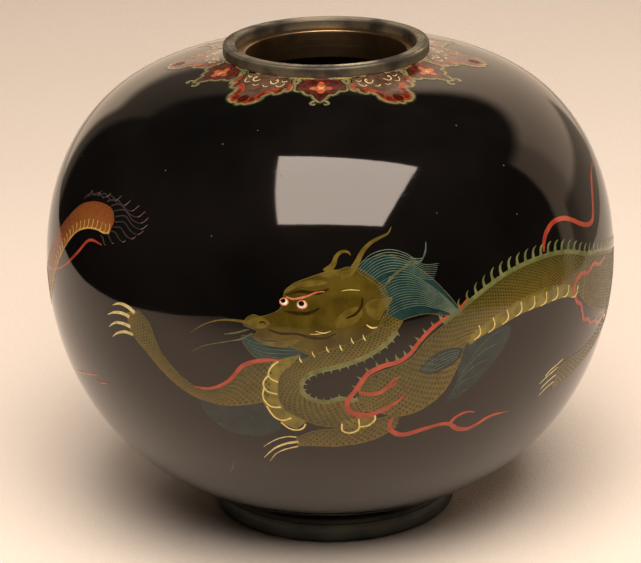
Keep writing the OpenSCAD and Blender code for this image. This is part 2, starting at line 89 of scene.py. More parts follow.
class Finish:
    """A material, built from nodes round one Principled shader."""

    def __init__(self, name, **fixed):
        self.made = bpy.data.materials.new(name)
        self.made.use_nodes = True
        self.tree = self.made.node_tree
        self.shader = self.tree.nodes["Principled BSDF"]
        self.feed({key.replace("_", " "): value for key, value in fixed.items()})
        self.place = self.node("ShaderNodeTexCoord", out="Object")

    def node(self, kind, settings=None, values=None, out=0):
        """Adds a node: its settings first, then the values or links of its sockets."""
        made = self.tree.nodes.new(kind)
        for key, setting in (settings or {}).items():
            if key == "stops":
                made.color_ramp.elements.remove(made.color_ramp.elements[1])
                made.color_ramp.elements[0].position = setting[0][0]
                for place, _ in setting[1:]:
                    made.color_ramp.elements.new(place)
                for element, (_, colour) in zip(made.color_ramp.elements, setting):
                    element.color = (*colour, 1)
            else:
                setattr(made, key, setting)
        self.join(made, values or {})
        return Amount(self, made.outputs[out])

    def join(self, made, values):
        for key, value in values.items():
            socket = made.inputs[key]
            if isinstance(value, Amount):
                self.tree.links.new(value.socket, socket)
            elif socket.type == "RGBA":
                socket.default_value = (*value, 1)
            else:
                socket.default_value = value

    def feed(self, values):
        self.join(self.shader, values)

    def cloud(self, scale, detail=3, place=None, out=0):
        return self.node("ShaderNodeTexNoise", {},
                         {"Vector": place or self.place, "Scale": scale, "Detail": detail}, out)

    def cells(self, scale, feature="F1", place=None, out="Distance"):
        return self.node("ShaderNodeTexVoronoi", {"feature": feature},
                         {"Vector": place or self.place, "Scale": scale}, out)

    def stretched(self, amounts, place=None):
        return self.node("ShaderNodeMapping", {}, {"Vector": place or self.place, "Scale": amounts})

    def blend(self, share, first, second):
        """A colour between two others, by a share from 0 to 1."""
        return self.node("ShaderNodeMix", {"data_type": "RGBA"}, {0: share, 6: first, 7: second}, 2)

    def bumps(self, height, depth):
        """The shader's normal, pushed about by a height in metres."""
        normal = self.node("ShaderNodeBump", {}, {"Height": height, "Distance": depth})
        self.feed({"Normal": normal})


def raised_copper():
    copper = Finish("raised_copper", Metallic=1.0)
    blows = copper.cells(260, "SMOOTH_F1")
    stain = copper.cloud(90, 5)
    copper.feed({"Base Color": copper.blend(stain.between(0.35, 0.7), (0.62, 0.29, 0.17),
                                            (0.28, 0.12, 0.08)),
                 "Roughness": stain * 0.3 + 0.25})
    copper.bumps(blows, 0.0004)
    return copper.made


def hard_solder():
    solder = Finish("hard_solder", Metallic=1.0)
    frost = solder.cloud(700, 4)
    solder.feed({"Base Color": solder.blend(frost, (0.42, 0.38, 0.26), (0.66, 0.62, 0.5)),
                 "Roughness": frost * 0.4 + 0.25})
    solder.bumps(frost, 0.0002)
    return solder.made


def dress(node, material):
    """Gives a part of the frame its finish."""
    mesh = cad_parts[node].data
    mesh.materials.clear()
    mesh.materials.append(material)


COPPER, SOLDER = raised_copper(), hard_solder()
dress("copper_bowl", COPPER)
dress("copper_dome", COPPER)
dress("belly_braze", SOLDER)


# ---------------------------------------------------------------- foot ring
# A ring turned from brass bar, soldered under the copper floor. Its patina is nearly black, and
# rubs through to brass at the edge that slides on the table.

def turned(name, outline, steps=192):
    """Spins a closed outline of (radius, height) round the vase's axis."""
    shape = bmesh.new()
    rings = [[shape.verts.new((r * MM * math.cos(a), r * MM * math.sin(a), z * MM))
              for r, z in outline]
             for a in (2 * math.pi * k / steps for k in range(steps))]
    for k, ring in enumerate(rings):
        other = rings[(k + 1) % steps]
        for i in range(len(outline)):
            j = (i + 1) % len(outline)
            shape.faces.new((ring[i], other[i], other[j], ring[j]))
    bmesh.ops.recalc_face_normals(shape, faces=shape.faces)
    mesh = bpy.data.meshes.new(name)
    shape.to_mesh(mesh)
    shape.free()
    return mesh


def softened(outline, radius, steps=4):
    """The same closed outline with its corners rounded."""
    made = []
    for i, (x, y) in enumerate(outline):
        corner = Vector((x, y))
        before = Vector(outline[i - 1]) - corner
        after = Vector(outline[(i + 1) % len(outline)]) - corner
        cut = min(radius, before.length * 0.45, after.length * 0.45)
        start, end = corner + before.normalized() * cut, corner + after.normalized() * cut
        for k in range(steps + 1):
            t = k / steps
            made.append(tuple(start * (1 - t) ** 2 + corner * 2 * t * (1 - t) + end * t * t))
    return made


def piece(name, mesh, material, slot, *stands_for, crease=35):
    """Makes a finished mesh a piece of the vase."""
    mesh.materials.clear()
    mesh.materials.append(material)
    mesh.shade_smooth()
    mesh.set_sharp_from_angle(angle=math.radians(crease))
    made = bpy.data.objects.new(name, mesh)
    bpy.context.scene.collection.objects.link(made)
    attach(made, "root")
    if stands_for:
        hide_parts(*stands_for)
    return made


def dark_patina(name, deep, pale, worn, edge):
    """Patinated brass with lathe lines, worn bright where the metal has an edge."""
    patina = Finish(name)
    blotch = patina.cloud(120, 5)
    speck = patina.cloud(900, 3)
    lathe = patina.cloud(1, 4, patina.stretched((30, 30, 9000)))
    rubbed = patina.node("ShaderNodeNewGeometry", out="Pointiness").between(*edge)
    rubbed = rubbed * blotch.between(0.35, 0.6)
    body = patina.blend(blotch.between(0.3, 0.75), deep, pale)
    patina.feed({"Base Color": patina.blend(rubbed, body, worn),
                 "Metallic": rubbed * 0.5 + 0.45,
                 "Roughness": 0.46 - rubbed * 0.16 + speck * 0.12})
    patina.bumps(lathe * 0.6 + speck * 0.25, 0.00006)
    return patina.made


foot_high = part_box("foot_ring")[1]
FOOT_R, FOOT_BORE_R, FLOOR_Z = foot_high.x / MM, 22.5, foot_high.z / MM
FOOT_OUTLINE = [(FOOT_BORE_R, 0), (FOOT_R - 0.4, 0), (FOOT_R, 0.9), (FOOT_R, 3.1),
                (FOOT_R - 0.35, 4.1), (FOOT_R - 0.55, 4.15), (FOOT_R - 1.0, 4.9),
                (FOOT_R - 1.9, 5.2), (24.1, 5.2), (24.1, FLOOR_Z), (FOOT_BORE_R, FLOOR_Z)]
piece("foot_ring_turned", turned("foot_ring_turned", softened(FOOT_OUTLINE, 0.35)),
      dark_patina("foot_patina", (0.035, 0.036, 0.030), (0.085, 0.085, 0.068),
                  (0.34, 0.28, 0.17), (0.52, 0.60)), "foot_patina", "foot_ring")
dress("foot_solder", SOLDER)


# ---------------------------------------------------------------- mouth
# A brass sleeve lines the throat and its flange is the seat. The rim is a turned ring with fine
# lines cut round its top, which covers the edge of the enamel and is soldered from inside.

rim_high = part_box("mouth_rim")[1]
RIM_R, RIM_TOP = rim_high.x / MM, rim_high.z / MM
SEAT_R, SEAT_Z, THROAT_R, SLEEVE_R = 19.5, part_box("throat_sleeve")[1].z / MM, 17.4, 18.5
THROAT_LOW, FLANGE_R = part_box("throat_sleeve")[0].z / MM, 22.2
COPPER_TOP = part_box("copper_dome")[1].z / MM


def rim_outline(lines=5, groove=0.16):
    """The rim's section, with grooves across its top face."""
    flat_in, flat_out = SEAT_R + 0.45, RIM_R - 0.75
    pitch = (flat_out - flat_in) / lines
    top = []
    for k in range(lines):
        outer = flat_out - k * pitch
        top += [(outer, RIM_TOP), (outer - pitch * 0.72, RIM_TOP),
                (outer - pitch * 0.86, RIM_TOP - groove)]
    outer_side = [(SEAT_R, SEAT_Z), (RIM_R, SEAT_Z), (RIM_R, RIM_TOP - 0.55),
                  (RIM_R - 0.15, RIM_TOP - 0.2), (RIM_R - 0.45, RIM_TOP - 0.05)]
    inner_side = [(flat_in, RIM_TOP), (SEAT_R + 0.2, RIM_TOP - 0.12), (SEAT_R, RIM_TOP - 0.5)]
    return outer_side + top + inner_side


piece("mouth_rim_turned", turned("mouth_rim_turned", softened(rim_outline(), 0.06, 2)),
      dark_patina("rim_patina", (0.032, 0.026, 0.018), (0.085, 0.066, 0.045),
                  (0.50, 0.42, 0.27), (0.50, 0.56)), "rim_patina", "mouth_rim", crease=50)

throat = [(THROAT_R, THROAT_LOW), (SLEEVE_R, THROAT_LOW), (SLEEVE_R, COPPER_TOP),
          (FLANGE_R - 0.75, COPPER_TOP), (FLANGE_R, SEAT_Z - 0.05), (FLANGE_R, SEAT_Z),
          (THROAT_R + 0.25, SEAT_Z), (THROAT_R, SEAT_Z - 0.25)]


def tarnished_brass():
    brass = Finish("tarnished_brass", Metallic=1.0)
    cloud = brass.cloud(110, 5)
    rings = brass.cloud(1, 3, brass.stretched((20, 20, 5000)))
    brass.feed({"Base Color": brass.blend(cloud.between(0.3, 0.7), (0.42, 0.27, 0.13),
                                          (0.16, 0.09, 0.045)),
                "Roughness": cloud * 0.2 + 0.26})
    brass.bumps(rings + cloud, 0.00005)
    return brass.made


piece("throat_sleeve_turned", turned("throat_sleeve_turned", softened(throat, 0.12, 3)),
      tarnished_brass(), "throat_brass", "throat_sleeve")
dress("rim_solder", SOLDER)


# ---------------------------------------------------------------- under and counter enamels
# Enamel pulls the copper as it cools, so a brown counter coat lines the vase and covers the base
# inside the foot. The clear undercoat, which the wires stand on, is hidden by the picture.

BELLY_R, BELLY_Z, SHOULDER_H, BASE_H = 62.5, 58.5, 44.8, 55.2
SHOULDER_FULL, BASE_FULL, NECK_RISE, EDGE_R, FILLET = 0.54, 0.78, 1.5, 22.0, 1.7
LOW_T, HIGH_T = -72.5, 81.5
COUNTER_DEPTH, INSIDE_DEPTH = 2.4, 3.0


def body_point(t):
    """The body's curve, by an angle from the base at -90 through the belly at 0."""
    c, s = math.cos(math.radians(t)), math.sin(math.radians(t))
    if t < 0:
        return Vector((BELLY_R * c ** BASE_FULL, BELLY_Z + BASE_H * s))
    r = BELLY_R * c ** SHOULDER_FULL
    return Vector((r, BELLY_Z + SHOULDER_H * s + NECK_RISE * math.exp((EDGE_R - r) / FILLET)))


def under_skin(t, depth):
    """The same curve, a depth inside the skin."""
    run = body_point(t + 0.05) - body_point(t - 0.05)
    return body_point(t) - depth * Vector((run.y, -run.x)).normalized()


GLASS_IOR, GLASS_TINT = 1.5, {"Specular Tint": (1.0, 0.88, 0.80)}
PIT_COLOUR = (0.01, 0.008, 0.006)


def fired_enamel(name, colour, shade, gloss=0.05, ripple=0.00002, cloud=140):
    """Fired and polished enamel: clouded colour, pinholes, faint scratches and a low ripple."""
    glass = Finish(name, IOR=GLASS_IOR, **GLASS_TINT)
    drift = glass.cloud(cloud, 4)
    grains = glass.cloud(2600, 2)
    pits = 1 - glass.cells(620).between(0.05, 0.085)
    pits = pits * glass.cloud(70, 1).between(0.5, 0.62)
    scratch = glass.cloud(1, 2, glass.stretched((260, 260, 4200)))
    body = glass.blend(drift.between(0.3, 0.72), colour, shade)
    body = glass.blend(grains.between(0.62, 0.8) * 0.35, body, [c * 0.5 for c in colour])
    glass.feed({"Base Color": glass.blend(pits, body, PIT_COLOUR),
                "Roughness": gloss + drift * 0.03 + scratch.between(0.6, 0.75) * 0.03 + pits * 0.3})
    glass.bumps(drift + pits * -1.0 + grains * 0.02, ripple)
    return glass


LINING_TURNS = [LOW_T + 3 + k * 3.5 for k in range(40)]
FLOOR_TOP, FLOOR_COAT, COVE, GAP = FLOOR_Z + 1.2, 0.6, 1.5, 0.02
lining = ([(0.0, FLOOR_TOP + FLOOR_COAT),
           (under_skin(LINING_TURNS[0], INSIDE_DEPTH).x - COVE, FLOOR_TOP + FLOOR_COAT)]
          + [tuple(under_skin(t, INSIDE_DEPTH)) for t in LINING_TURNS]
          + [(SLEEVE_R + 1, COPPER_TOP - 1.8), (SLEEVE_R + 1, COPPER_TOP - 1.25)]
          + [tuple(under_skin(t, COUNTER_DEPTH + GAP)) for t in reversed(LINING_TURNS)]
          + [(0.0, FLOOR_TOP + GAP)])


def spun_open(name, outline, steps=128):
    """Spins an outline whose two ends lie on the axis."""
    mesh = turned(name, outline, steps)
    shape = bmesh.new()
    shape.from_mesh(mesh)
    bmesh.ops.remove_doubles(shape, verts=shape.verts, dist=1e-7)
    bmesh.ops.dissolve_degenerate(shape, edges=shape.edges, dist=1e-7)
    axis = [f for f in shape.faces if all(v.co.xy.length < 1e-7 for v in f.verts)]
    bmesh.ops.delete(shape, geom=axis, context="FACES")
    bmesh.ops.recalc_face_normals(shape, faces=shape.faces)
    shape.to_mesh(mesh)
    shape.free()
    return mesh


brown = fired_enamel("brown_counter_enamel", (0.085, 0.045, 0.024), (0.035, 0.018, 0.010),
                     0.16, 0.00025, 60).made
piece("counter_enamel_lining", spun_open("counter_enamel_lining", lining), brown,
      "counter_enamel", "inner_counter_enamel")
dress("base_counter_enamel", fired_enamel("dark_base_enamel", (0.030, 0.022, 0.017),
                                          (0.012, 0.009, 0.008), 0.12, 0.00015, 90).made)
dress("undercoat_enamel", fired_enamel("clear_undercoat", (0.30, 0.17, 0.10),
                                       (0.2, 0.1, 0.06)).made)


# ---------------------------------------------------------------- black ground
# The ground is black enamel packed round the picture, ground back level with the wires and then
# polished till it mirrors the room. Its skin follows one rule from the foot to the mouth.

SKIN_DEPTH, COAT_T = 0.07, 0.74
CROWDING = 1.5  # Above 1, rows of faces crowd towards the mouth, where the curve is tight


class Tree:
    """A Geometry Nodes tree, built node by node, with named inputs."""

    def __init__(self, name, inputs):
        self.tree = bpy.data.node_groups.new(name, "GeometryNodeTree")
        self.tree.interface.new_socket("Geometry", in_out="OUTPUT",
                                       socket_type="NodeSocketGeometry")
        self.keys = {}
        for label, kind, value in inputs:
            socket = self.tree.interface.new_socket(label, in_out="INPUT",
                                                    socket_type="NodeSocket" + kind)
            if value is not None:
                socket.default_value = value
            self.keys[label] = socket.identifier
        self.start = self.tree.nodes.new("NodeGroupInput")
        self.end = self.tree.nodes.new("NodeGroupOutput")

    def given(self, label):
        return self.start.outputs[label]

    def node(self, kind, settings=None, values=None, out=0):
        made = self.tree.nodes.new(kind)
        for key, setting in (settings or {}).items():
            setattr(made, key, setting)
        for key, value in (values or {}).items():
            if isinstance(value, bpy.types.NodeSocket):
                self.tree.links.new(value, made.inputs[key])
            else:
                made.inputs[key].default_value = value
        return made.outputs[out]

    def sum(self, operation, *values):
        return self.node("ShaderNodeMath", {"operation": operation}, dict(enumerate(values)))

    def deliver(self, shape):
        """Ends the tree in real faces with the finish set."""
        real = self.node("GeometryNodeRealizeInstances", {}, {"Geometry": shape})
        done = self.node("GeometryNodeSetMaterial", {},
                         {"Geometry": real, "Material": self.given("Material")})
        self.tree.links.new(done, self.end.inputs["Geometry"])

    def grown(self, name, values, start=None):
        """Runs the tree once and returns the plain mesh that it makes."""
        host = bpy.data.objects.new(name + "_host", start or bpy.data.meshes.new(name + "_seed"))
        bpy.context.scene.collection.objects.link(host)
        run = host.modifiers.new("grow", "NODES")
        run.node_group = self.tree
        for label, value in values.items():
            run[self.keys[label]] = value
        bpy.context.view_layer.update()
        seen = host.evaluated_get(bpy.context.evaluated_depsgraph_get())
        mesh = bpy.data.meshes.new_from_object(seen)
        mesh.name = name
        bpy.data.objects.remove(host)
        return mesh


def skin_tree():
    """A grid bent to the body's rule, given a thickness and closed at both edges."""
    t = Tree("vase_skin", [
        ("Belly Radius", "Float", BELLY_R), ("Belly Height", "Float", BELLY_Z),
        ("Shoulder Rise", "Float", SHOULDER_H), ("Base Drop", "Float", BASE_H),
        ("Shoulder Fullness", "Float", SHOULDER_FULL), ("Base Fullness", "Float", BASE_FULL),
        ("Neck Rise", "Float", NECK_RISE), ("Neck Radius", "Float", EDGE_R),
        ("Depth", "Float", SKIN_DEPTH), ("Thickness", "Float", COAT_T),
        ("Steps Round", "Int", 257), ("Steps Up", "Int", 150), ("Material", "Material", None)])
    grid = t.node("GeometryNodeMeshGrid", {}, {
        "Size X": 1.0, "Size Y": 1.0, "Vertices X": t.given("Steps Round"),
        "Vertices Y": t.given("Steps Up")})
    spot = t.node("GeometryNodeInputPosition")
    xyz = t.tree.nodes.new("ShaderNodeSeparateXYZ")
    t.tree.links.new(spot, xyz.inputs[0])
    turn = t.sum("MULTIPLY", xyz.outputs["X"], 2 * math.pi)
    rise = t.sum("SUBTRACT", 0.5, xyz.outputs["Y"])
    eased = t.sum("POWER", rise, CROWDING)
    angle = t.sum("RADIANS", t.sum("SUBTRACT", HIGH_T, t.sum("MULTIPLY", eased, HIGH_T - LOW_T)))
    c, s = t.sum("COSINE", angle), t.sum("SINE", angle)
    upper = t.sum("GREATER_THAN", angle, 0.0)
    drop = t.sum("SUBTRACT", t.given("Shoulder Fullness"), t.given("Base Fullness"))
    fullness = t.sum("MULTIPLY_ADD", upper, drop, t.given("Base Fullness"))
    radius = t.sum("MULTIPLY", t.given("Belly Radius"), t.sum("POWER", c, fullness))
    grow = t.sum("SUBTRACT", t.given("Shoulder Rise"), t.given("Base Drop"))
    tall = t.sum("MULTIPLY_ADD", upper, grow, t.given("Base Drop"))
    height = t.sum("MULTIPLY_ADD", s, tall, t.given("Belly Height"))
    near = t.sum("DIVIDE", t.sum("SUBTRACT", t.given("Neck Radius"), radius), FILLET)
    swept = t.sum("MULTIPLY", t.sum("EXPONENT", near), t.given("Neck Rise"))
    height = t.sum("MULTIPLY_ADD", swept, upper, height)
    bent = t.node("ShaderNodeCombineXYZ", {}, {
        "X": t.sum("MULTIPLY", radius, t.sum("COSINE", turn)),
        "Y": t.sum("MULTIPLY", radius, t.sum("SINE", turn)), "Z": height})
    metres = t.node("ShaderNodeVectorMath", {"operation": "SCALE"}, {0: bent, "Scale": MM})
    skin = t.node("GeometryNodeSetPosition", {}, {"Geometry": grid, "Position": metres})
    skin = t.node("GeometryNodeMergeByDistance", {}, {"Geometry": skin, "Distance": 1e-6})
    normal = t.node("GeometryNodeInputNormal")
    sunk = t.node("ShaderNodeVectorMath", {"operation": "SCALE"},
                  {0: normal, "Scale": t.sum("MULTIPLY", t.given("Depth"), -MM)})
    skin = t.node("GeometryNodeSetPosition", {}, {"Geometry": skin, "Offset": sunk})
    inner = t.node("GeometryNodeFlipFaces", {}, {"Mesh": skin})
    inner = t.node("GeometryNodeExtrudeMesh", {"mode": "FACES"}, {
        "Mesh": inner, "Individual": False,
        "Offset Scale": t.sum("MULTIPLY", t.given("Thickness"), MM)})
    both = t.tree.nodes.new("GeometryNodeJoinGeometry")
    t.tree.links.new(skin, both.inputs[0])
    t.tree.links.new(inner, both.inputs[0])
    closed = t.node("GeometryNodeMergeByDistance", {},
                    {"Geometry": both.outputs[0], "Distance": 1e-6})
    t.deliver(closed)
    return t


def black_glass():
    """Black enamel: near the brown of its flux, with dust in it and hairline polishing marks."""
    glass = Finish("black_ground_enamel", IOR=GLASS_IOR, **GLASS_TINT)
    drift = glass.cloud(45, 4)
    dust = glass.cells(420)
    rare = glass.cells(420, out="Color")
    bright = glass.node("ShaderNodeSeparateColor", {}, {"Color": rare}, "Red").between(0.93, 0.97)
    motes = (1 - dust.between(0.04, 0.08)) * bright
    swirl = glass.cloud(1, 2, glass.stretched((150, 150, 2400)))
    body = glass.blend(drift.between(0.3, 0.75), (0.0022, 0.0019, 0.0017), (0.0055, 0.0042, 0.0034))
    body = glass.blend(motes, body, (0.11, 0.10, 0.08))
    glass.feed({"Base Color": body,
                "Roughness": 0.035 + drift * 0.03 + swirl.between(0.55, 0.75) * 0.03 + motes * 0.3})
    glass.bumps(drift + motes * 0.4 + glass.cloud(260, 2) * 0.12, 0.00003)
    return glass.made


BLACK = black_glass()
skin_mesh = skin_tree().grown("black_ground", {"Material": BLACK})
piece("black_ground", skin_mesh, BLACK, "black_enamel", "ground_enamel", crease=40)


# ---------------------------------------------------------------- collar
# Six lobed lappets hang from the mouth with six pointed flower cells between them. Flat wire is
# bent round each cell, stood on edge in the undercoat, and the cell is packed with wet enamel.

def tint(red, green, blue):
    """A colour as it looks on a screen, 0 to 255, as the shader wants it."""
    return tuple((c / 255) ** 2.2 for c in (red, green, blue))


def through(points, steps=4, closed=False):
    """A smooth line through a few points, each any number of values."""
    n = len(points)
    pick = (lambda i: points[i % n]) if closed else (lambda i: points[max(0, min(n - 1, i))])
    made = []
    for i in range(n if closed else n - 1):
        a, b, c, d = (pick(i + k) for k in (-1, 0, 1, 2))
        for k in range(steps):
            t = k / steps
            made.append(tuple(0.5 * (2 * q + (r - p) * t + (2 * p - 5 * q + 4 * r - s) * t * t
                                     + (3 * q - p - 3 * r + s) * t ** 3)
                              for p, q, r, s in zip(a, b, c, d)))
    return made if closed else made + [tuple(points[-1])]


def laid(radius, height, run, turn, level):
    """A point a level over the black ground, and the way out of the skin there."""
    out = Vector((run.y, -run.x)).normalized()
    r, z = radius + out.x * (level - SKIN_DEPTH), height + out.y * (level - SKIN_DEPTH)
    s, c = math.sin(math.radians(turn)), -math.cos(math.radians(turn))
    return Vector((r * s, r * c, z)) * MM, Vector((out.x * s, out.x * c, out.y))


def shoulder_z(r):
    c = (min(r, BELLY_R) / BELLY_R) ** (1 / SHOULDER_FULL)
    return (BELLY_Z + SHOULDER_H * math.sqrt(max(0, 1 - c * c))
            + NECK_RISE * math.exp((EDGE_R - r) / FILLET))


def on_shoulder(turn, r, level):
    """Round the mouth a drawing is in degrees and radius."""
    run = Vector((-0.2, shoulder_z(r - 0.1) - shoulder_z(r + 0.1)))
    return laid(r, shoulder_z(r), run, turn, level)


def ribbon_tree():
    """Sweeps a flat strip along each path, as wide as the path's own half width says."""
    t = Tree("ribbon", [("Geometry", "Geometry", None), ("Flatness", "Float", 0.7),
                        ("Material", "Material", None)])
    path = t.node("GeometryNodeMeshToCurve", {}, {"Mesh": t.given("Geometry")})
    out = t.node("GeometryNodeInputNamedAttribute", {"data_type": "FLOAT_VECTOR"}, {"Name": "out"})
    half = t.node("GeometryNodeInputNamedAttribute", {"data_type": "FLOAT"}, {"Name": "half"})
    path = t.node("GeometryNodeSetCurveNormal", {"mode": "FREE"}, {"Curve": path, "Normal": out})
    path = t.node("GeometryNodeSetCurveRadius", {}, {"Curve": path, "Radius": half})
    strip = t.node("GeometryNodeCurvePrimitiveQuadrilateral", {"mode": "RECTANGLE"},
                   {"Width": t.given("Flatness"), "Height": 2.0})
    low = t.node("ShaderNodeCombineXYZ", {}, {"X": t.sum("MULTIPLY", t.given("Flatness"), -0.5)})
    strip = t.node("GeometryNodeSetPosition", {}, {"Geometry": strip, "Offset": low})
    t.deliver(t.node("GeometryNodeCurveToMesh", {}, {
        "Curve": path, "Profile Curve": strip, "Fill Caps": True, "Scale": half}))
    return t


def paths(name, lines, place, level):
    """A mesh of lines on the vase. Each line is points of two places and half a width."""
    spots, edges, halves, outs = [], [], [], []
    for line, closed in lines:
        first = len(spots)
        for a, b, half in line:
            spot, out = place(a, b, level)
            spots.append(spot)
            outs.extend(out)
            halves.append(max(half, 0.02) * MM)
        edges += [(first + i, first + i + 1) for i in range(len(line) - 1)]
        if closed:
            edges.append((len(spots) - 1, first))
    mesh = bpy.data.meshes.new(name + "_paths")
    mesh.from_pydata(spots, edges, [])
    mesh.attributes.new("half", "FLOAT", "POINT").data.foreach_set("value", halves)
    mesh.attributes.new("out", "FLOAT_VECTOR", "POINT").data.foreach_set("vector", outs)
    return mesh


RIBBON = ribbon_tree()


def ribbons(name, lines, place, level, material):
    """Strips of enamel or wire along the lines."""
    mesh = RIBBON.grown(name, {"Material": material}, paths(name, lines, place, level))
    shape = bmesh.new()
    shape.from_mesh(mesh)
    bmesh.ops.recalc_face_normals(shape, faces=shape.faces)
    shape.to_mesh(mesh)
    shape.free()
    return mesh


def inside(x, y, outline):
    """Whether a spot lies within a closed outline."""
    found = False
    for (ax, ay), (bx, by) in zip(outline, outline[1:] + outline[:1]):
        if (ay > y) != (by > y) and x < (bx - ax) * (y - ay) / (by - ay) + ax:
            found = not found
    return found


WIDTH_OF_DEGREE = 1.07


def slabs(name, outlines, place, level, flat=WIDTH_OF_DEGREE, spacing=0.8, depth=0.3):
    """Closed slabs of enamel within the outlines. flat is how many millimetres a degree is."""
    shape = bmesh.new()
    for outline in outlines:
        rim = [Vector((a * flat, b)) for a, b in outline]
        pairs = [tuple(p) for p in rim]
        xs, ys = [p.x for p in rim], [p.y for p in rim]
        grid, row, y = [], 0, min(ys)
        while y < max(ys):
            x = min(xs) + (row % 2) * spacing / 2
            while x < max(xs):
                spot = Vector((x, y))
                clear = min((spot - p).length for p in rim)
                if clear > spacing * 0.4 and inside(x, y, pairs):
                    grid.append(spot)
                x += spacing
            y, row = y + spacing * 0.866, row + 1
        spots, _, faces, *_ = geometry.delaunay_2d_cdt(
            rim + grid, [], [list(range(len(rim)))], 1, 1e-5)
        top = [shape.verts.new(place(p.x / flat, p.y, level)[0]) for p in spots]
        low = [shape.verts.new(place(p.x / flat, p.y, level - depth)[0]) for p in spots]
        used = {}
        for face in faces:
            shape.faces.new([top[i] for i in face])
            shape.faces.new([low[i] for i in reversed(face)])
            for a, b in zip(face, face[1:] + face[:1]):
                used[(a, b)] = True
        for a, b in used:
            if (b, a) not in used:
                shape.faces.new((top[b], top[a], low[a], low[b]))
    bmesh.ops.delete(shape, geom=[v for v in shape.verts if not v.link_faces], context="VERTS")
    bmesh.ops.recalc_face_normals(shape, faces=shape.faces)
    mesh = bpy.data.meshes.new(name)
    shape.to_mesh(mesh)
    shape.free()
    return mesh


def repeat_tree():
    """Sets copies of a shape round the vase's axis."""
    t = Tree("round_the_mouth", [("Geometry", "Geometry", None), ("Repeats", "Int", 6),
                                 ("Material", "Material", None)])
    spots = t.node("GeometryNodeMeshLine", {}, {"Count": t.given("Repeats"), "Offset": (0, 0, 0)})
    index = t.node("GeometryNodeInputIndex")
    share = t.sum("DIVIDE", t.sum("MULTIPLY", index, 2 * math.pi), t.given("Repeats"))
    turn = t.node("ShaderNodeCombineXYZ", {}, {"Z": share})
    t.deliver(t.node("GeometryNodeInstanceOnPoints", {}, {
        "Points": spots, "Instance": t.given("Geometry"), "Rotation": turn}))
    return t


ROUND = repeat_tree()


def collar_piece(name, mesh, material, slot, *stands_for):
    return piece(name, ROUND.grown(name, {"Repeats": 6, "Material": material}, mesh), material,
                 slot, *stands_for)


LAPPET_AT, FLOWER_AT, COLLAR_R = 27.0, -3.0, 22.5
LAPPET_HALF = [(16.4, 22.5), (16.7, 24.4), (16.5, 26.2), (14.8, 27.3), (13.6, 27.0), (12.6, 28.2),
               (10.6, 28.9), (8.9, 28.3), (7.9, 29.2), (6.9, 30.1), (6.9, 31.6), (5.4, 33.1),
               (3.0, 34.1), (1.3, 34.0), (0, 34.6)]
CELL_HALF = [(12.4, 22.5), (12.9, 24.6), (12.3, 26.3), (10.0, 27.0), (8.6, 26.7), (7.0, 27.8),
             (5.0, 28.6), (3.9, 28.4), (2.2, 30.2), (0, 31.6)]


def both_halves(half, centre, shrink=0.0, grow=1.0):
    """A closed outline from one half of it, drawn in towards the mouth by a little."""
    right = [(centre + a * grow, r if r == COLLAR_R else r - shrink) for a, r in half]
    left = [(2 * centre - a, r) for a, r in reversed(right[:-1])]
    return through(right + left, 3, True)


def edged(outline, half):
    """A closed line of one width along an outline."""
    return [(a, r, half) for a, r in outline], True


def drawn(lines, centre=0.0, steps=4):
    """Open lines, smoothed through their points and hung from a centre."""
    return [([(centre + a, r, w) for a, r, w in through(line, steps)], False) for line in lines]


def mirrored(lines, centre):
    """The lines and their mirror images."""
    return lines + [([(2 * centre - a, r, w) for a, r, w in line], closed) for line, closed in lines]


lappet, cell = both_halves(LAPPET_HALF, LAPPET_AT), both_halves(CELL_HALF, FLOWER_AT)
ROUND_FLAT = 0.47
FIELD_GREY = fired_enamel("collar_field_enamel", tint(88, 66, 52), tint(62, 42, 32), cloud=500).made
CELL_DARK = fired_enamel("flower_ground_enamel", tint(84, 36, 26), tint(44, 18, 13), cloud=700).made
BAND_ORANGE = fired_enamel("collar_band_enamel", tint(142, 60, 36), tint(104, 38, 24), cloud=900).made
LOBE_RED = fired_enamel("collar_lobe_enamel", tint(92, 36, 24), tint(58, 24, 16), cloud=900).made
SAGE = fired_enamel("sage_border_enamel", tint(120, 110, 78), tint(88, 82, 56), cloud=900).made
CREAM = fired_enamel("cream_enamel", tint(190, 172, 126), tint(160, 140, 96), cloud=900).made
GREEN_GLOW = fired_enamel("dark_green_enamel", tint(34, 42, 22), tint(22, 30, 17), cloud=600).made

one_field = slabs("one_field", [both_halves(LAPPET_HALF, LAPPET_AT, 0.3, 0.98)], on_shoulder,
                  0.010, ROUND_FLAT, 0.7)
collar_piece("collar_lappet_fields", one_field, FIELD_GREY, "russet_enamel", "collar_fields")
one_ground = slabs("one_ground", [both_halves(CELL_HALF, FLOWER_AT, 0.3, 0.97)], on_shoulder,
                   0.010, ROUND_FLAT, 0.7)
collar_piece("collar_flower_grounds", one_ground, CELL_DARK, "russet_enamel")

BAND = [(15.3, 23.2, 0.3), (15.4, 25.4, 0.75), (13.8, 25.9, 0.95), (11.6, 27.1, 0.95),
        (9.2, 26.9, 0.8), (7.2, 28.0, 0.9), (5.6, 29.3, 0.9), (5.2, 31.0, 1.0),
        (3.4, 32.4, 1.0), (0, 32.8, 0.9)]
one_band = ribbons("one_band", mirrored(drawn([BAND], LAPPET_AT), LAPPET_AT), on_shoulder, 0.024,
                   BAND_ORANGE)
collar_piece("collar_orange_bands", one_band, BAND_ORANGE, "orange_enamel")
LOBES = [[(0, 30.6, 0.5), (0, 32.2, 1.15), (0, 33.4, 0.5)],
         [(3.2, 31.0, 0.5), (3.6, 32.0, 0.7), (2.6, 32.9, 0.3)],
         [(13.4, 25.2, 0.3), (12.0, 26.6, 0.75), (10.6, 27.7, 0.3)],
         [(6.0, 28.6, 0.3), (5.4, 30.2, 0.55), (5.3, 31.2, 0.3)]]
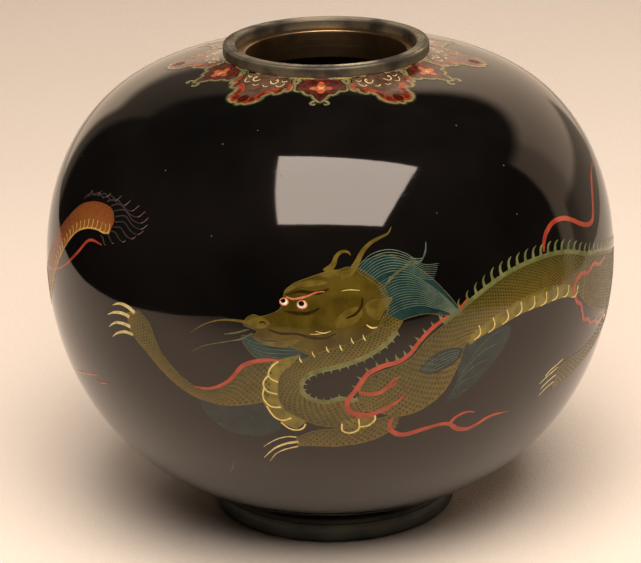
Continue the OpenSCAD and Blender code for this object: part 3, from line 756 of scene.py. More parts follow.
some_lobes = ribbons("some_lobes", mirrored(drawn(LOBES, LAPPET_AT), LAPPET_AT), on_shoulder,
                     0.032, LOBE_RED)
collar_piece("collar_red_lobes", some_lobes, LOBE_RED, "red_enamel")
one_shadow = ribbons("one_shadow", [edged(lappet, 0.75), edged(cell, 0.7)], on_shoulder, 0.016,
                     GREEN_GLOW)
collar_piece("collar_green_shadow", one_shadow, GREEN_GLOW, "black_enamel")
CURL = [(1.6, 30.9, 0.28), (2.9, 31.4, 0.34), (3.3, 32.2, 0.3), (2.2, 32.6, 0.25), (1.7, 32.1, 0.2)]
NOTCH = [(-14.6, 26.6, 0.3), (-15.9, 27.0, 0.4), (-17.0, 26.6, 0.3), (-16.4, 25.8, 0.2)]
curls = mirrored(drawn((CURL, NOTCH), FLOWER_AT), FLOWER_AT)
one_border = ribbons("one_border", [edged(lappet, 0.40), edged(cell, 0.36)] + curls, on_shoulder,
                     0.040, SAGE)
collar_piece("collar_sage_borders", one_border, SAGE, "sage_enamel", "collar_borders")

# The flower: four petals in a cross, four thin leaves between them and a bright heart
ORANGE = fired_enamel("petal_enamel", tint(172, 84, 54), tint(132, 54, 34), cloud=900).made
FLOWER_R, DEGREES_A_MM, PETAL_WIDE, PETAL_TALL = 25.3, 2.25, 1.9, 1.75
petals = [[(FLOWER_AT + DEGREES_A_MM * side * k * PETAL_WIDE, FLOWER_R + away * k * PETAL_TALL, w)
           for k, w in ((0.2, 0.25), (0.55, 0.62), (0.85, 0.72), (1.15, 0.45), (1.25, 0.15))]
          for away, side in ((0, 1), (0, -1), (1, 0), (-1, 0))]
four_petals = ribbons("four_petals", drawn(petals, steps=3), on_shoulder, 0.036, ORANGE)
collar_piece("collar_flower_petals", four_petals, ORANGE, "orange_enamel", "collar_flowers")
YELLOW = fired_enamel("yellow_stroke_enamel", tint(190, 146, 74), tint(156, 112, 52), cloud=900).made
strokes = [([(FLOWER_AT + DEGREES_A_MM * a * k, FLOWER_R + b * k, 0.16 * (1.4 - k))
             for k in (0, 0.5, 1)], False) for a, b in ((1, 1), (1, -1), (-1, 1), (-1, -1))]
strokes += [([(FLOWER_AT + 0.6 * math.cos(a), FLOWER_R + 0.28 * math.sin(a), 0.2)
              for a in (k * math.pi / 4 for k in range(8))], True)]
collar_piece("collar_flower_hearts", ribbons("one_heart", strokes, on_shoulder, 0.044, YELLOW),
             YELLOW, "yellow_enamel")
SCROLLS = [[(3.0, 23.6, 0.10), (4.6, 24.4, 0.16), (6.4, 24.3, 0.16), (7.3, 23.6, 0.14),
            (6.6, 23.1, 0.12), (5.9, 23.5, 0.08)],
           [(7.6, 24.9, 0.10), (9.0, 25.4, 0.14), (10.6, 24.9, 0.12), (11.4, 24.0, 0.08)],
           [(1.2, 25.4, 0.08), (2.6, 26.0, 0.14), (4.2, 25.7, 0.10)],
           [(9.2, 23.3, 0.08), (10.4, 23.6, 0.13), (12.2, 23.2, 0.08)]]
some_scrolls = ribbons("some_scrolls", mirrored(drawn(SCROLLS, LAPPET_AT), LAPPET_AT), on_shoulder,
                       0.036, CREAM)
collar_piece("collar_cream_scrolls", some_scrolls, CREAM, "cream_enamel")


def wire_metal():
    wire = Finish("polished_wire", Metallic=1.0)
    dull = wire.cloud(1500, 2)
    wire.feed({"Base Color": wire.blend(dull.between(0.35, 0.7), tint(196, 160, 92),
                                        tint(126, 96, 50)),
               "Roughness": dull * 0.25 + 0.22})
    wire.bumps(dull, 0.00002)
    return wire.made


WIRE = wire_metal()
collar_wires = [edged(through(line[::3], 3, True), 0.06)
                for line in (both_halves(LAPPET_HALF, LAPPET_AT, -0.32, 1.028),
                             both_halves(CELL_HALF, FLOWER_AT, -0.3, 1.03))]
collar_piece("collar_edge_wires", ribbons("two_wires", collar_wires, on_shoulder, 0.055, WIRE),
             WIRE, "wire", "collar_wires")


# ---------------------------------------------------------------- dragon's hide
# Olive enamel fills the neck, body and legs. Each scale is a bent hoop of hair-thin wire with a
# darker drop of enamel in it, laid in rows from the tail forward before the cells are packed.

def on_body(turn, height, level):
    """Round the belly a drawing is in degrees and height."""
    def radius(z):
        up = z > BELLY_Z
        x = min(0.995, abs(z - BELLY_Z) / (SHOULDER_H if up else BASE_H))
        return BELLY_R * (1 - x * x) ** ((SHOULDER_FULL if up else BASE_FULL) / 2)
    step = 0.2
    run = Vector((radius(height + step) - radius(height - step), 2 * step))
    return laid(radius(height), height, run, turn, level)


def band_between(name, rails, level, columns=8, steps=5, depth=0.3):
    """Enamel between two edges, drawn in pairs as (turn, height, turn, height)."""
    rows = through(rails, steps)
    shape = bmesh.new()
    grain = shape.loops.layers.uv.new("grain")
    run, along = 0.0, []
    for i, row in enumerate(rows):
        if i:
            a, b = rows[i - 1], row
            run += math.hypot((b[0] + b[2] - a[0] - a[2]) / 2 * WIDTH_OF_DEGREE,
                              (b[1] + b[3] - a[1] - a[3]) / 2)
        along.append(run)
    grid = {}
    for i, (a0, a1, b0, b1) in enumerate(rows):
        for j in range(columns + 1):
            t = j / columns
            for side, down in (("top", 0), ("low", depth)):
                spot, _ = on_body(a0 + (b0 - a0) * t, a1 + (b1 - a1) * t, level - down)
                grid[i, j, side] = shape.verts.new(spot)

    def face(*corners):
        made = shape.faces.new([grid[c] for c in corners])
        for loop, (i, j, _) in zip(made.loops, corners):
            loop[grain].uv = (along[i] * MM * 10, j / columns)
    last = len(rows) - 1
    for i in range(last):
        for j in range(columns):
            face((i, j, "top"), (i + 1, j, "top"), (i + 1, j + 1, "top"), (i, j + 1, "top"))
            face((i, j + 1, "low"), (i + 1, j + 1, "low"), (i + 1, j, "low"), (i, j, "low"))
        for j in (0, columns):
            face((i, j, "top"), (i, j, "low"), (i + 1, j, "low"), (i + 1, j, "top"))
    for i in (0, last):
        for j in range(columns):
            face((i, j, "top"), (i, j + 1, "top"), (i, j + 1, "low"), (i, j, "low"))
    bmesh.ops.recalc_face_normals(shape, faces=shape.faces)
    mesh = bpy.data.meshes.new(name)
    shape.to_mesh(mesh)
    shape.free()
    return mesh


def joined(name, meshes):
    """Several meshes as one, with their UV maps."""
    shape = bmesh.new()
    for mesh in meshes:
        shape.from_mesh(mesh)
        bpy.data.meshes.remove(mesh)
    made = bpy.data.meshes.new(name)
    shape.to_mesh(made)
    shape.free()
    return made


NECK = [(9.6, 66.0, 13.0, 64.0), (8.6, 63.6, 11.6, 61.8), (6.0, 61.4, 9.4, 59.4),
        (2.5, 60.0, 5.4, 56.9), (-1.2, 58.9, 1.2, 55.4), (-5.0, 57.2, -2.8, 54.4),
        (-8.0, 55.6, -5.2, 53.0), (-10.0, 53.2, -6.1, 51.4), (-10.6, 50.2, -6.0, 49.7),
        (-10.2, 46.9, -4.6, 48.1), (-8.2, 44.5, -2.7, 47.4), (-5.6, 42.8, -0.8, 47.3),
        (-2.8, 41.6, 1.0, 48.0), (0.6, 41.2, 4.0, 47.4), (4.6, 41.6, 6.6, 46.4)]
BODY_FRONT = [(4.6, 49.2, 4.5, 47.0), (5.6, 51.3, 5.6, 45.0), (7.6, 53.3, 8.6, 44.2),
              (11.0, 54.4, 12.2, 42.9), (14.5, 56.0, 16.8, 43.8), (17.4, 59.4, 21.2, 47.3),
              (21.0, 62.2, 23.8, 52.5), (25.0, 64.8, 25.6, 57.4), (29.5, 67.3, 29.4, 60.4),
              (34.0, 69.2, 34.2, 62.6), (39.0, 70.3, 39.6, 63.9), (44.5, 70.6, 45.0, 64.3),
              (50.0, 70.1, 49.6, 63.5), (55.0, 68.8, 53.8, 61.6), (60.0, 66.8, 58.0, 57.4)]
BACK_LINE = [(66, 59, 6.2), (75, 56, 6.6), (88, 52.5, 7), (102, 50.5, 7.2), (118, 52, 7.2),
             (134, 57, 7), (150, 61.5, 6.6), (167, 63, 6.2), (184, 60.5, 5.9), (201, 55.5, 5.6),
             (218, 51.2, 5.0), (235, 49.4, 4.4), (252, 48.0, 3.8), (271, 50.5, 3.2)]


def rails_of(line):
    """The two edges of a line drawn as points with half a width."""
    made = []
    for i, (a, h, half) in enumerate(line):
        p, q = line[max(0, i - 1)], line[min(len(line) - 1, i + 1)]
        run = Vector(((q[0] - p[0]) * WIDTH_OF_DEGREE, q[1] - p[1])).normalized()
        made.append((a - run.y * half / WIDTH_OF_DEGREE, h + run.x * half,
                     a + run.y * half / WIDTH_OF_DEGREE, h - run.x * half))
    return made


BODY_BACK = rails_of(BACK_LINE)
BODY = BODY_FRONT + BODY_BACK
LEFT_LEG = [(-11.4, 56.3, -12.8, 47.2), (-14.6, 55.6, -15.8, 46.2), (-17.3, 54.2, -18.8, 45.5),
            (-19.6, 51.3, -21.3, 45.2), (-22.2, 49.2, -24.2, 45.4), (-25.6, 48.3, -27.6, 46.2),
            (-28.8, 49.6, -31.3, 48.2), (-32.0, 52.4, -34.8, 51.2), (-34.4, 55.4, -37.9, 54.4),
            (-35.6, 58.4, -40.4, 56.6), (-37.2, 61.4, -42.0, 58.9), (-39.6, 63.0, -42.4, 61.8)]
RIGHT_LEG = [(12.6, 43.6, 12.2, 40.4), (8.4, 42.8, 8.6, 37.9), (4.4, 41.2, 4.4, 36.7),
             (0.2, 40.9, 0.2, 36.2), (-4.0, 40.3, -4.0, 36.4), (-7.8, 38.5, -7.4, 36.3)]
HIND_LEG = [(84, 52.0, 80, 47.0), (76, 50.4, 74, 45.4), (68, 47.2, 67.5, 43.2),
            (60.5, 45.6, 60.5, 41.6), (55.0, 45.6, 54.6, 40.2), (50.6, 44.9, 50.4, 39.6)]
FAR_LEG = rails_of([(196, 52, 3.4), (190, 47.5, 2.6), (186, 43, 1.7), (181, 39.8, 1.5),
                    (175, 38.8, 1.5), (170, 40.6, 1.9), (166, 42.6, 2.2)])
LIMBS = {"neck": NECK, "body": BODY, "left_leg": LEFT_LEG, "right_leg": RIGHT_LEG,
         "hind_leg": HIND_LEG, "far_leg": FAR_LEG}
LIMB_LEVEL = {"neck": 0.016, "body": 0.019, "left_leg": 0.013, "right_leg": 0.014,
              "hind_leg": 0.022, "far_leg": 0.022}


def scaled_hide(name, back, flank, belly, root=None):
    """Hide enamel, darker towards the back edge, with the clouding of separate firings."""
    glass = fired_enamel(name, flank, back, 0.06, 0.00002, 170)
    across = glass.node("ShaderNodeSeparateXYZ", {}, {
        "Vector": glass.node("ShaderNodeUVMap", {"uv_map": "grain"})}, "Y")
    drift = glass.cloud(330, 4)
    low = (across + drift * 0.5).between(0.55, 1.2)
    high = 1 - (across + drift * 0.4).between(0.15, 0.6)
    made = glass.blend(low, flank, belly)
    made = glass.blend(high * 0.6, made, back)
    grains = glass.cloud(1900, 2).between(0.55, 0.75)
    made = glass.blend(grains * 0.4, made, [c * 0.55 for c in back])
    if root:
        along = glass.node("ShaderNodeSeparateXYZ", {}, {
            "Vector": glass.node("ShaderNodeUVMap", {"uv_map": "grain"})}, "X")
        made = glass.blend((along + drift * 0.1).between(0.06, 0.34), root, made)
    glass.feed({"Base Color": made})
    return glass.made


HIDE = scaled_hide("olive_hide_enamel", tint(60, 55, 24), tint(84, 74, 31), tint(102, 84, 35))
limb_meshes = [band_between(key, rails, LIMB_LEVEL[key]) for key, rails in LIMBS.items()]
piece("dragon_hide_bands", joined("dragon_hide_bands", limb_meshes), HIDE, "olive_enamel",
      "dragon_hide")


def along_tree(name, evenly):
    """Sets a shape along each path, evenly or on its points, turned to the path and the skin."""
    t = Tree(name, [("Geometry", "Geometry", None), ("Shape", "Object", None),
                    ("Pitch", "Float", 0.001), ("Material", "Material", None)])
    path = t.node("GeometryNodeMeshToCurve", {}, {"Mesh": t.given("Geometry")})
    if evenly:
        path = t.node("GeometryNodeResampleCurve", {"mode": "LENGTH"},
                      {"Curve": path, "Length": t.given("Pitch")})
    out = t.node("GeometryNodeInputNamedAttribute", {"data_type": "FLOAT_VECTOR"}, {"Name": "out"})
    size = t.node("GeometryNodeInputNamedAttribute", {"data_type": "FLOAT"}, {"Name": "half"})
    turn = t.node("FunctionNodeAxesToRotation", {"primary_axis": "Z", "secondary_axis": "X"},
                  {0: out, 1: t.node("GeometryNodeInputTangent")})
    shape = t.node("GeometryNodeObjectInfo", {"transform_space": "ORIGINAL"},
                   {"Object": t.given("Shape")}, "Geometry")
    scale = t.sum("MULTIPLY", size, 1000.0)
    t.deliver(t.node("GeometryNodeInstanceOnPoints", {}, {
        "Points": path, "Instance": shape, "Rotation": turn, "Scale": scale}))
    return t


ALONG, ON_POINTS = along_tree("along_the_path", True), along_tree("on_the_points", False)


def cut_shape(outline, thick=0.2, dome=0.0):
    """A small closed slab. Its outline is in millimetres, with its top at the skin."""
    shape = bmesh.new()
    top = [shape.verts.new((x * MM, y * MM, 0)) for x, y in outline]
    low = [shape.verts.new((x * MM, y * MM, -thick * MM)) for x, y in outline]
    n = len(outline)
    if dome:
        crown = shape.verts.new((sum(x for x, _ in outline) / n * MM,
                                 sum(y for _, y in outline) / n * MM, dome * MM))
        for i in range(n):
            shape.faces.new((top[i], top[(i + 1) % n], crown))
    else:
        shape.faces.new(top)
    shape.faces.new(low[::-1])
    for i in range(n):
        shape.faces.new((top[i], low[i], low[(i + 1) % n], top[(i + 1) % n]))
    bmesh.ops.triangulate(shape, faces=[f for f in shape.faces if len(f.verts) > 4])
    bmesh.ops.recalc_face_normals(shape, faces=shape.faces)
    mesh = bpy.data.meshes.new("shape")
    shape.to_mesh(mesh)
    shape.free()
    made = bpy.data.objects.new("shape", mesh)
    bpy.context.scene.collection.objects.link(made)
    made.hide_render = True
    return made


def hoop(width, tall, wire):
    """A bent wire as an outline: its outer edge, then its inner one back."""
    turns = [k * math.pi / 4 for k in range(5)]
    outer = [(-tall * math.sin(a), width / 2 * math.cos(a)) for a in turns]
    inner = [(-(tall - wire) * math.sin(a), (width / 2 - wire) * math.cos(a)) for a in turns]
    return outer + inner[::-1]


def set_along(name, shape, lines, level, material, pitch=None):
    """Copies of a shape along lines, a pitch apart, or one on each point if no pitch is given."""
    values = {"Shape": shape, "Material": material}
    if pitch:
        values["Pitch"] = pitch * MM
    tree = ALONG if pitch else ON_POINTS
    return tree.grown(name, values, paths(name, lines, on_body, level))


SCALE_WIDE, SCALE_WIRE = 1.35, 0.085
hoop_shape = cut_shape(hoop(1.0, 0.95, SCALE_WIRE / SCALE_WIDE), 0.1)
drop_shape = cut_shape([(0.24 * math.cos(a) - 0.42, 0.24 * math.sin(a))
                        for a in (k * math.pi / 3 for k in range(6))], 0.1, 0.006)


def scale_rows(rails, wide=SCALE_WIDE):
    """Lanes of scales, half a scale apart, each lane's scales between those of the last."""
    smooth, along = through(rails, 6), [0.0]
    for p, q in zip(smooth, smooth[1:]):
        along.append(along[-1] + math.hypot((q[0] + q[2] - p[0] - p[2]) / 2 * WIDTH_OF_DEGREE,
                                            (q[1] + q[3] - p[1] - p[3]) / 2))
    widest = max(math.hypot((a - c) * WIDTH_OF_DEGREE, b - d) for a, b, c, d in smooth)
    lanes = max(3, round(widest / wide * 2))
    lines = []
    for lane in range(1, lanes):
        line, i, t = [], 0, lane / lanes
        s = wide * (0.9 if lane % 2 else 0.4)
        while s < along[-1] - wide * 0.2:
            while along[i + 1] < s:
                i += 1
            k = (s - along[i]) / (along[i + 1] - along[i])
            a, b, c, d = [p + (q - p) * k for p, q in zip(smooth[i], smooth[i + 1])]
            width = math.hypot((a - c) * WIDTH_OF_DEGREE, b - d) / lanes * 2
            line.append((a + (c - a) * t, b + (d - b) * t, max(0.3, width)))
            s += wide
        if len(line) > 1:
            lines.append((line, False))
    return lines


SCALE_GOLD = Finish("scale_wire", Metallic=0.25)
glint = SCALE_GOLD.cloud(800, 3)
SCALE_GOLD.feed({"Base Color": SCALE_GOLD.blend(glint.between(0.35, 0.7), tint(110, 97, 50),
                                                tint(88, 76, 36)),
                 "Roughness": glint * 0.2 + 0.3})
DEEP_OLIVE = fired_enamel("deep_olive_enamel", tint(60, 52, 23), tint(44, 38, 18), cloud=400).made
front_rows = [r for key in ("neck", "left_leg", "right_leg") for r in scale_rows(LIMBS[key])]
front_rows += scale_rows(BODY_FRONT)
back_rows = [r for rails in ([BODY_FRONT[-1]] + BODY_BACK, HIND_LEG, FAR_LEG)
             for r in scale_rows(rails)]
for side, rows in (("front", front_rows), ("back", back_rows)):
    piece(f"scale_drops_{side}", set_along(f"scale_drops_{side}", drop_shape, rows, 0.026,
                                           DEEP_OLIVE), DEEP_OLIVE, "olive_enamel")
    piece(f"scale_wires_{side}", set_along(f"scale_wires_{side}", hoop_shape, rows, 0.032,
                                           SCALE_GOLD.made), SCALE_GOLD.made, "wire")


# ---------------------------------------------------------------- back fins
# A root band of sage enamel follows the back from the shoulder to the tail, and hooked spines
# stand on it. Plain pointed teeth line the inside of the neck's loop.

FIN = fired_enamel("sage_fin_enamel", tint(112, 112, 68), tint(80, 86, 48), cloud=600).made
spine_shape = cut_shape([(-0.36, -0.25), (0.34, -0.25), (0.22, 0.10), (0.17, 0.45), (0.25, 0.80),
                         (0.44, 1.08), (0.78, 1.34), (0.38, 1.24), (0.06, 1.02), (-0.12, 0.70),
                         (-0.22, 0.32)], 0.2)
tooth_shape = cut_shape([(-0.50, -0.20), (0.50, -0.20), (0.32, 0.12), (0.14, 0.52), (0.04, 1.0),
                         (-0.10, 0.55), (-0.28, 0.15)], 0.2)


def edge_of(rails, side, out=0.0, size=1.0):
    """One edge of a pair of rails as a path, moved out from the band by a little."""
    line = []
    for a, b, c, d in through(rails, 5):
        width = math.hypot((a - c) * WIDTH_OF_DEGREE, b - d) or 1
        k = out / width
        line.append((a + (a - c) * k, b + (b - d) * k, size) if side == 0
                    else (c + (c - a) * k, d + (d - b) * k, size))
    return line


ridge = edge_of(BODY[6:], 0, 0.35, 0.5)
spine_line = [(a, h, 0.9 + 0.85 * min(1, max(0, (a - 20) / 12))
               - 0.45 * min(1, max(0, (a - 50) / 14))) for a, h, _ in edge_of(BODY[6:], 0, 0.7)]
neck_teeth = [(a, h, 1.05) for a, h, _ in edge_of(NECK[1:14], 1, 0.25)]
shoulder_teeth = [(a, h, 1.6) for a, h, _ in edge_of(BODY_FRONT[:7], 0, 1.0)]
fins = [set_along("spines", spine_shape, [(spine_line, False)], 0.034, FIN, 2.3),
        set_along("teeth", tooth_shape, [(neck_teeth, False)], 0.034, FIN, 1.65),
        set_along("comb", tooth_shape, [(shoulder_teeth, False)], 0.012, FIN, 2.0),
        ribbons("root", [([(a, h, 0.48) for a, h, _ in ridge], False),
                         ([(a, h, 0.5) for a, h, _ in edge_of(NECK[1:14], 1, 0.05)], False)],
                on_body, 0.034, FIN)]
piece("back_fin_spines", joined("back_fin_spines", fins), FIN, "sage_enamel", "back_fins")


# ---------------------------------------------------------------- belly plates
# Yellow-ochre enamel along the belly, parted into plates by bent cream strips.

PLATE = fired_enamel("yellow_plate_enamel", tint(122, 106, 40), tint(88, 78, 28), cloud=500).made
NECK_PLATES = [(-6.0, 58.0, -7.6, 55.6), (-8.6, 57.2, -9.0, 54.4), (-11.2, 56.0, -9.9, 53.2),
               (-12.7, 53.2, -10.4, 51.4), (-13.6, 50.0, -10.5, 49.4), (-13.7, 47.2, -10.2, 47.0),
               (-12.4, 44.6, -9.2, 45.2), (-10.2, 42.2, -7.4, 43.9), (-7.4, 40.6, -5.4, 42.7)]
LOW_PLATES = [(1.2, 42.8, 1.6, 40.3), (3.2, 43.2, 3.4, 39.4), (5.4, 43.8, 5.9, 40.4),
              (7.4, 44.2, 8.1, 42.0)]
BODY_PLATES = [(25.2, 58.4, 26.4, 56.8), (28.2, 60.2, 28.8, 58.2), (32.2, 62.0, 32.4, 59.2),
               (38.4, 64.0, 38.4, 60.8), (44.8, 64.6, 45.0, 61.0), (50.2, 63.6, 50.2, 60.8),
               (54.6, 61.8, 54.8, 59.2)]
BACK_PLATES = [(c, d + 0.2, c, d - 2.0) for _, _, c, d in BODY_BACK[1:]]
plates = [band_between("plate_band", rails, 0.028, 4)
          for rails in (NECK_PLATES, LOW_PLATES, BODY_PLATES, BACK_PLATES)]
piece("belly_plate_bands", joined("belly_plate_bands", plates), PLATE, "yellow_enamel",
      "belly_plates")
STRIP_AND_HIGHLIGHT = fired_enamel("cream_strip_and_highlight_enamel", tint(222, 200, 122), tint(190, 160, 84), cloud=800).made
hook_shape = cut_shape([(0.12, 2.5), (-0.08, 2.45), (-0.02, 1.3), (-0.25, 0.65), (-0.85, 0.22),
                        (-1.9, 0.06), (-1.9, -0.12), (-0.75, -0.02), (-0.05, 0.42), (0.2, 1.1)],
                       0.15)
NECK_HOOKS = [[(-10.2, 56.3), (-11.4, 55.2), (-12.1, 53.9), (-11.9, 52.5), (-10.4, 51.7)],
              [(-12.2, 53.1), (-13.1, 51.8), (-13.2, 50.6), (-12.4, 49.4), (-10.6, 48.9)],
              [(-13.2, 50.0), (-13.5, 48.6), (-13.2, 47.2), (-12.0, 45.9), (-10.2, 45.9)],
              [(-12.9, 46.0), (-12.3, 44.6), (-11.4, 43.3), (-10.0, 42.7), (-8.3, 43.4)],
              [(-10.4, 42.2), (-8.9, 40.8), (-7.4, 40.4), (-6.2, 40.9), (-5.6, 42.0)],
              [(1.4, 42.0), (1.5, 40.2), (3.2, 39.6), (4.7, 40.6), (4.6, 43.0)],
              [(4.9, 41.0), (6.6, 41.3), (7.8, 42.6), (7.7, 43.8)]]
TICKS = [(-6.3, 57.0), (-3.9, 58.2), (-1.3, 59.2), (1.2, 59.5), (3.3, 60.9), (5.5, 61.4)]
hooks = [([(a, h, 0.17) for a, h in through(q, 4)], False) for q in NECK_HOOKS]
hooks += [([(a, h + 0.5, 0.06), (a + 0.15, h - 0.2, 0.14), (a + 0.5, h - 0.8, 0.08)], False)
          for a, h in TICKS]
hooks += drawn([
    [(6.2, 63.9, 0.1), (7.2, 63.2, 0.16), (8.2, 63.3, 0.1)],
    # The next stroke, across the upper head, is a painted highlight in cream enamel; the strokes
    # round it are a jaw tick and the mouth lines
    [(1.8, 70.9, 0.04), (3.2, 71.1, 0.09), (5.2, 70.9, 0.04)],
    [(-3.2, 62.9, 0.04), (-1.6, 62.5, 0.1), (-0.4, 62.9, 0.05)],
    [(-4.2, 62.3, 0.04), (-2.8, 62.3, 0.07), (-1.6, 62.5, 0.04)]])
plate_line = [(c, d + 0.1, 1.0) for _, _, c, d in through(BODY_PLATES[1:], 5)]
plate_back = [(c, d + 0.1, 0.9) for _, _, c, d in through(BACK_PLATES, 5)]
strips = [ribbons("hooks", hooks, on_body, 0.05, STRIP_AND_HIGHLIGHT),
          set_along("front_hooks", hook_shape, [(plate_line, False)], 0.05, STRIP_AND_HIGHLIGHT, 3.25),
          set_along("back_hooks", hook_shape, [(plate_back, False)], 0.05, STRIP_AND_HIGHLIGHT, 3.3)]
piece("belly_plate_strips", joined("belly_plate_strips", strips), STRIP_AND_HIGHLIGHT, "cream_enamel")


# ---------------------------------------------------------------- head
# Ochre enamel in one broad cell, shaded by hand with darker glass along the jaw and brow. Two
# horns and the whiskers are drawn wires with colour run along them.

HEAD = [(-16.6, 63.6), (-16.2, 65.0), (-14.8, 65.9), (-13.4, 65.6), (-11.4, 66.3), (-9.9, 67.2),
        (-9.3, 68.6), (-8.9, 70.6), (-7.3, 72.4), (-4.4, 73.6), (-1.4, 74.6), (1.2, 75.0),
        (3.0, 75.5), (5.4, 75.0), (7.6, 73.4), (9.4, 71.6), (10.4, 69.4), (10.2, 66.6),
        (9.0, 63.6), (6.4, 61.4), (2.4, 60.0), (-1.6, 58.7), (-4.2, 57.9), (-6.6, 59.0),
        (-8.6, 60.2), (-10.6, 60.9), (-13.0, 60.8), (-15.2, 61.4), (-14.0, 62.6)]
HEAD_FINISH = fired_enamel("ochre_head_enamel", tint(84, 70, 27), tint(62, 51, 19), 0.06,
                           cloud=240).made
piece("dragon_head_cell", slabs("dragon_head_cell", [through(HEAD, 3, True)], on_body, 0.030),
      HEAD_FINISH, "ochre_enamel", "dragon_head")
PALE_OCHRE = fired_enamel("pale_ochre_enamel", tint(102, 86, 38), tint(80, 66, 29), cloud=500).made
EAR = [(6.2, 67.9), (7.4, 68.8), (9.2, 68.9), (11.2, 69.0), (10.4, 67.4), (9.2, 66.0), (8.6, 64.8),
       (7.2, 65.3), (6.4, 66.4)]
SNOUT = [(-16.2, 64.0), (-14.6, 65.4), (-12.6, 65.2), (-11.6, 64.2), (-12.8, 63.2), (-14.8, 63.2)]
CREST = [(-2.6, 74.0), (-0.8, 74.9), (1.6, 75.0), (1.4, 74.0), (-0.4, 73.6)]
LIP = [(-15.0, 61.4), (-13.0, 60.6), (-10.0, 60.6), (-6.0, 61.2), (-7.6, 59.8), (-10.4, 59.4),
       (-13.4, 60.0)]
BROW = [(-9.0, 70.4), (-6.6, 71.6), (-3.4, 71.9), (-0.6, 72.6), (-3.2, 73.2), (-6.4, 72.6),
        (-8.4, 71.6)]
CHEEK = [(1.6, 66.4), (3.6, 67.6), (5.4, 67.2), (5.2, 65.4), (3.4, 64.0), (1.0, 63.4), (0.4, 64.8)]
SHORT_HORN = [(-1.2, 74.6, 0.8), (0.3, 76.0, 0.55), (0.9, 77.5, 0.4), (2.0, 78.4, 0.32),
              (3.2, 78.3, 0.24), (3.7, 77.7, 0.1)]
LONG_HORN = [(1.6, 73.8, 0.9), (3.4, 74.4, 0.75), (4.7, 76.0, 0.6), (6.0, 78.2, 0.45),
             (7.8, 79.8, 0.36), (9.9, 80.7, 0.28), (11.4, 81.3, 0.18), (12.2, 82.4, 0.06)]
WHISKER = [(-15.4, 64.1, 0.40), (-18.2, 64.4, 0.24), (-21.4, 64.1, 0.17), (-24.6, 62.8, 0.11),
           (-27.4, 60.6, 0.05)]
details = [slabs("pale_cells", [through(q, 3, True) for q in (EAR, SNOUT, CREST, LIP, BROW, CHEEK)],
                 on_body, 0.036, spacing=0.6),
           ribbons("horns", drawn([SHORT_HORN, LONG_HORN, WHISKER]), on_body, 0.034, PALE_OCHRE)]
piece("head_pale_cells", joined("head_pale_cells", details), PALE_OCHRE, "ochre_enamel")
SHADE = fired_enamel("umber_shade_enamel", tint(52, 40, 14), tint(36, 28, 12), cloud=500).made
shades = drawn([
    [(-12.0, 63.0, 0.12), (-9.6, 62.3, 0.25), (-6.6, 62.3, 0.22), (-4.2, 61.6, 0.3),
     (-1.6, 61.4, 0.2), (0.6, 62.4, 0.1)],
    [(-9.0, 67.0, 0.1), (-7.0, 66.6, 0.35), (-4.4, 66.6, 0.35), (-2.4, 67.6, 0.15)],
    [(-8.6, 70.2, 0.1), (-6.0, 70.9, 0.3), (-3.0, 70.6, 0.4), (-0.6, 71.4, 0.2)],
    [(2.4, 65.4, 0.1), (4.2, 66.2, 0.3), (5.4, 67.8, 0.3), (5.6, 69.4, 0.15)],
    [(-13.6, 64.3, 0.16), (-13.0, 64.5, 0.2), (-12.4, 64.2, 0.1)],
    [(7.6, 52.7, 0.1), (7.9, 52.7, 0.28), (8.2, 52.7, 0.1)]])
piece("head_dark_shading", ribbons("head_dark_shading", shades, on_body, 0.040, SHADE), SHADE,
      "ochre_enamel")


# ---------------------------------------------------------------- eyes
# A white crescent round each dark pupil, with a pink rim and a pink brow above.

WHITE = fired_enamel("eye_white_enamel", tint(236, 226, 206), tint(206, 180, 160), cloud=900).made
PINK = fired_enamel("pink_rim_enamel", tint(196, 122, 84), tint(160, 88, 60), cloud=900).made
PUPIL = fired_enamel("pupil_enamel", tint(20, 14, 12), tint(34, 22, 16), cloud=900).made


def round_spot(a, h, r, squash=1.0, steps=14):
    """A round or flattened outline about a centre."""
    return [(a + r / WIDTH_OF_DEGREE * math.cos(k * 2 * math.pi / steps),
             h + r * squash * math.sin(k * 2 * math.pi / steps)) for k in range(steps)]


EYES = [(-9.0, 68.8, 0.85), (-5.6, 68.3, 1.0)]
piece("eye_whites", slabs("eye_whites", [round_spot(a, h, r, 0.86) for a, h, r in EYES], on_body,
                          0.046, spacing=0.4), WHITE, "cream_enamel", "eyes")
piece("eye_pupils", slabs("eye_pupils", [round_spot(a - 0.16, h + 0.22, r * 0.6, 0.9)
                                         for a, h, r in EYES], on_body, 0.052, spacing=0.4),
      PUPIL, "black_enamel")
rims = [([(a, h, 0.11) for a, h in round_spot(a, h, r, 0.86)], True) for a, h, r in EYES]
rims += drawn([[(-8.6, 69.8, 0.12), (-7.2, 69.4, 0.2), (-4.9, 69.9, 0.2), (-3.0, 70.7, 0.14),
                (-1.4, 70.9, 0.06)]])
piece("eye_rims", ribbons("eye_rims", rims, on_body, 0.056, PINK), PINK, "red_enamel")


# ---------------------------------------------------------------- mane, beard and leg hair
# Grey-teal enamel under combed wires. The wires run from the cheek over the crest and gather at
# the shoulder, and a second lock flicks back above them.

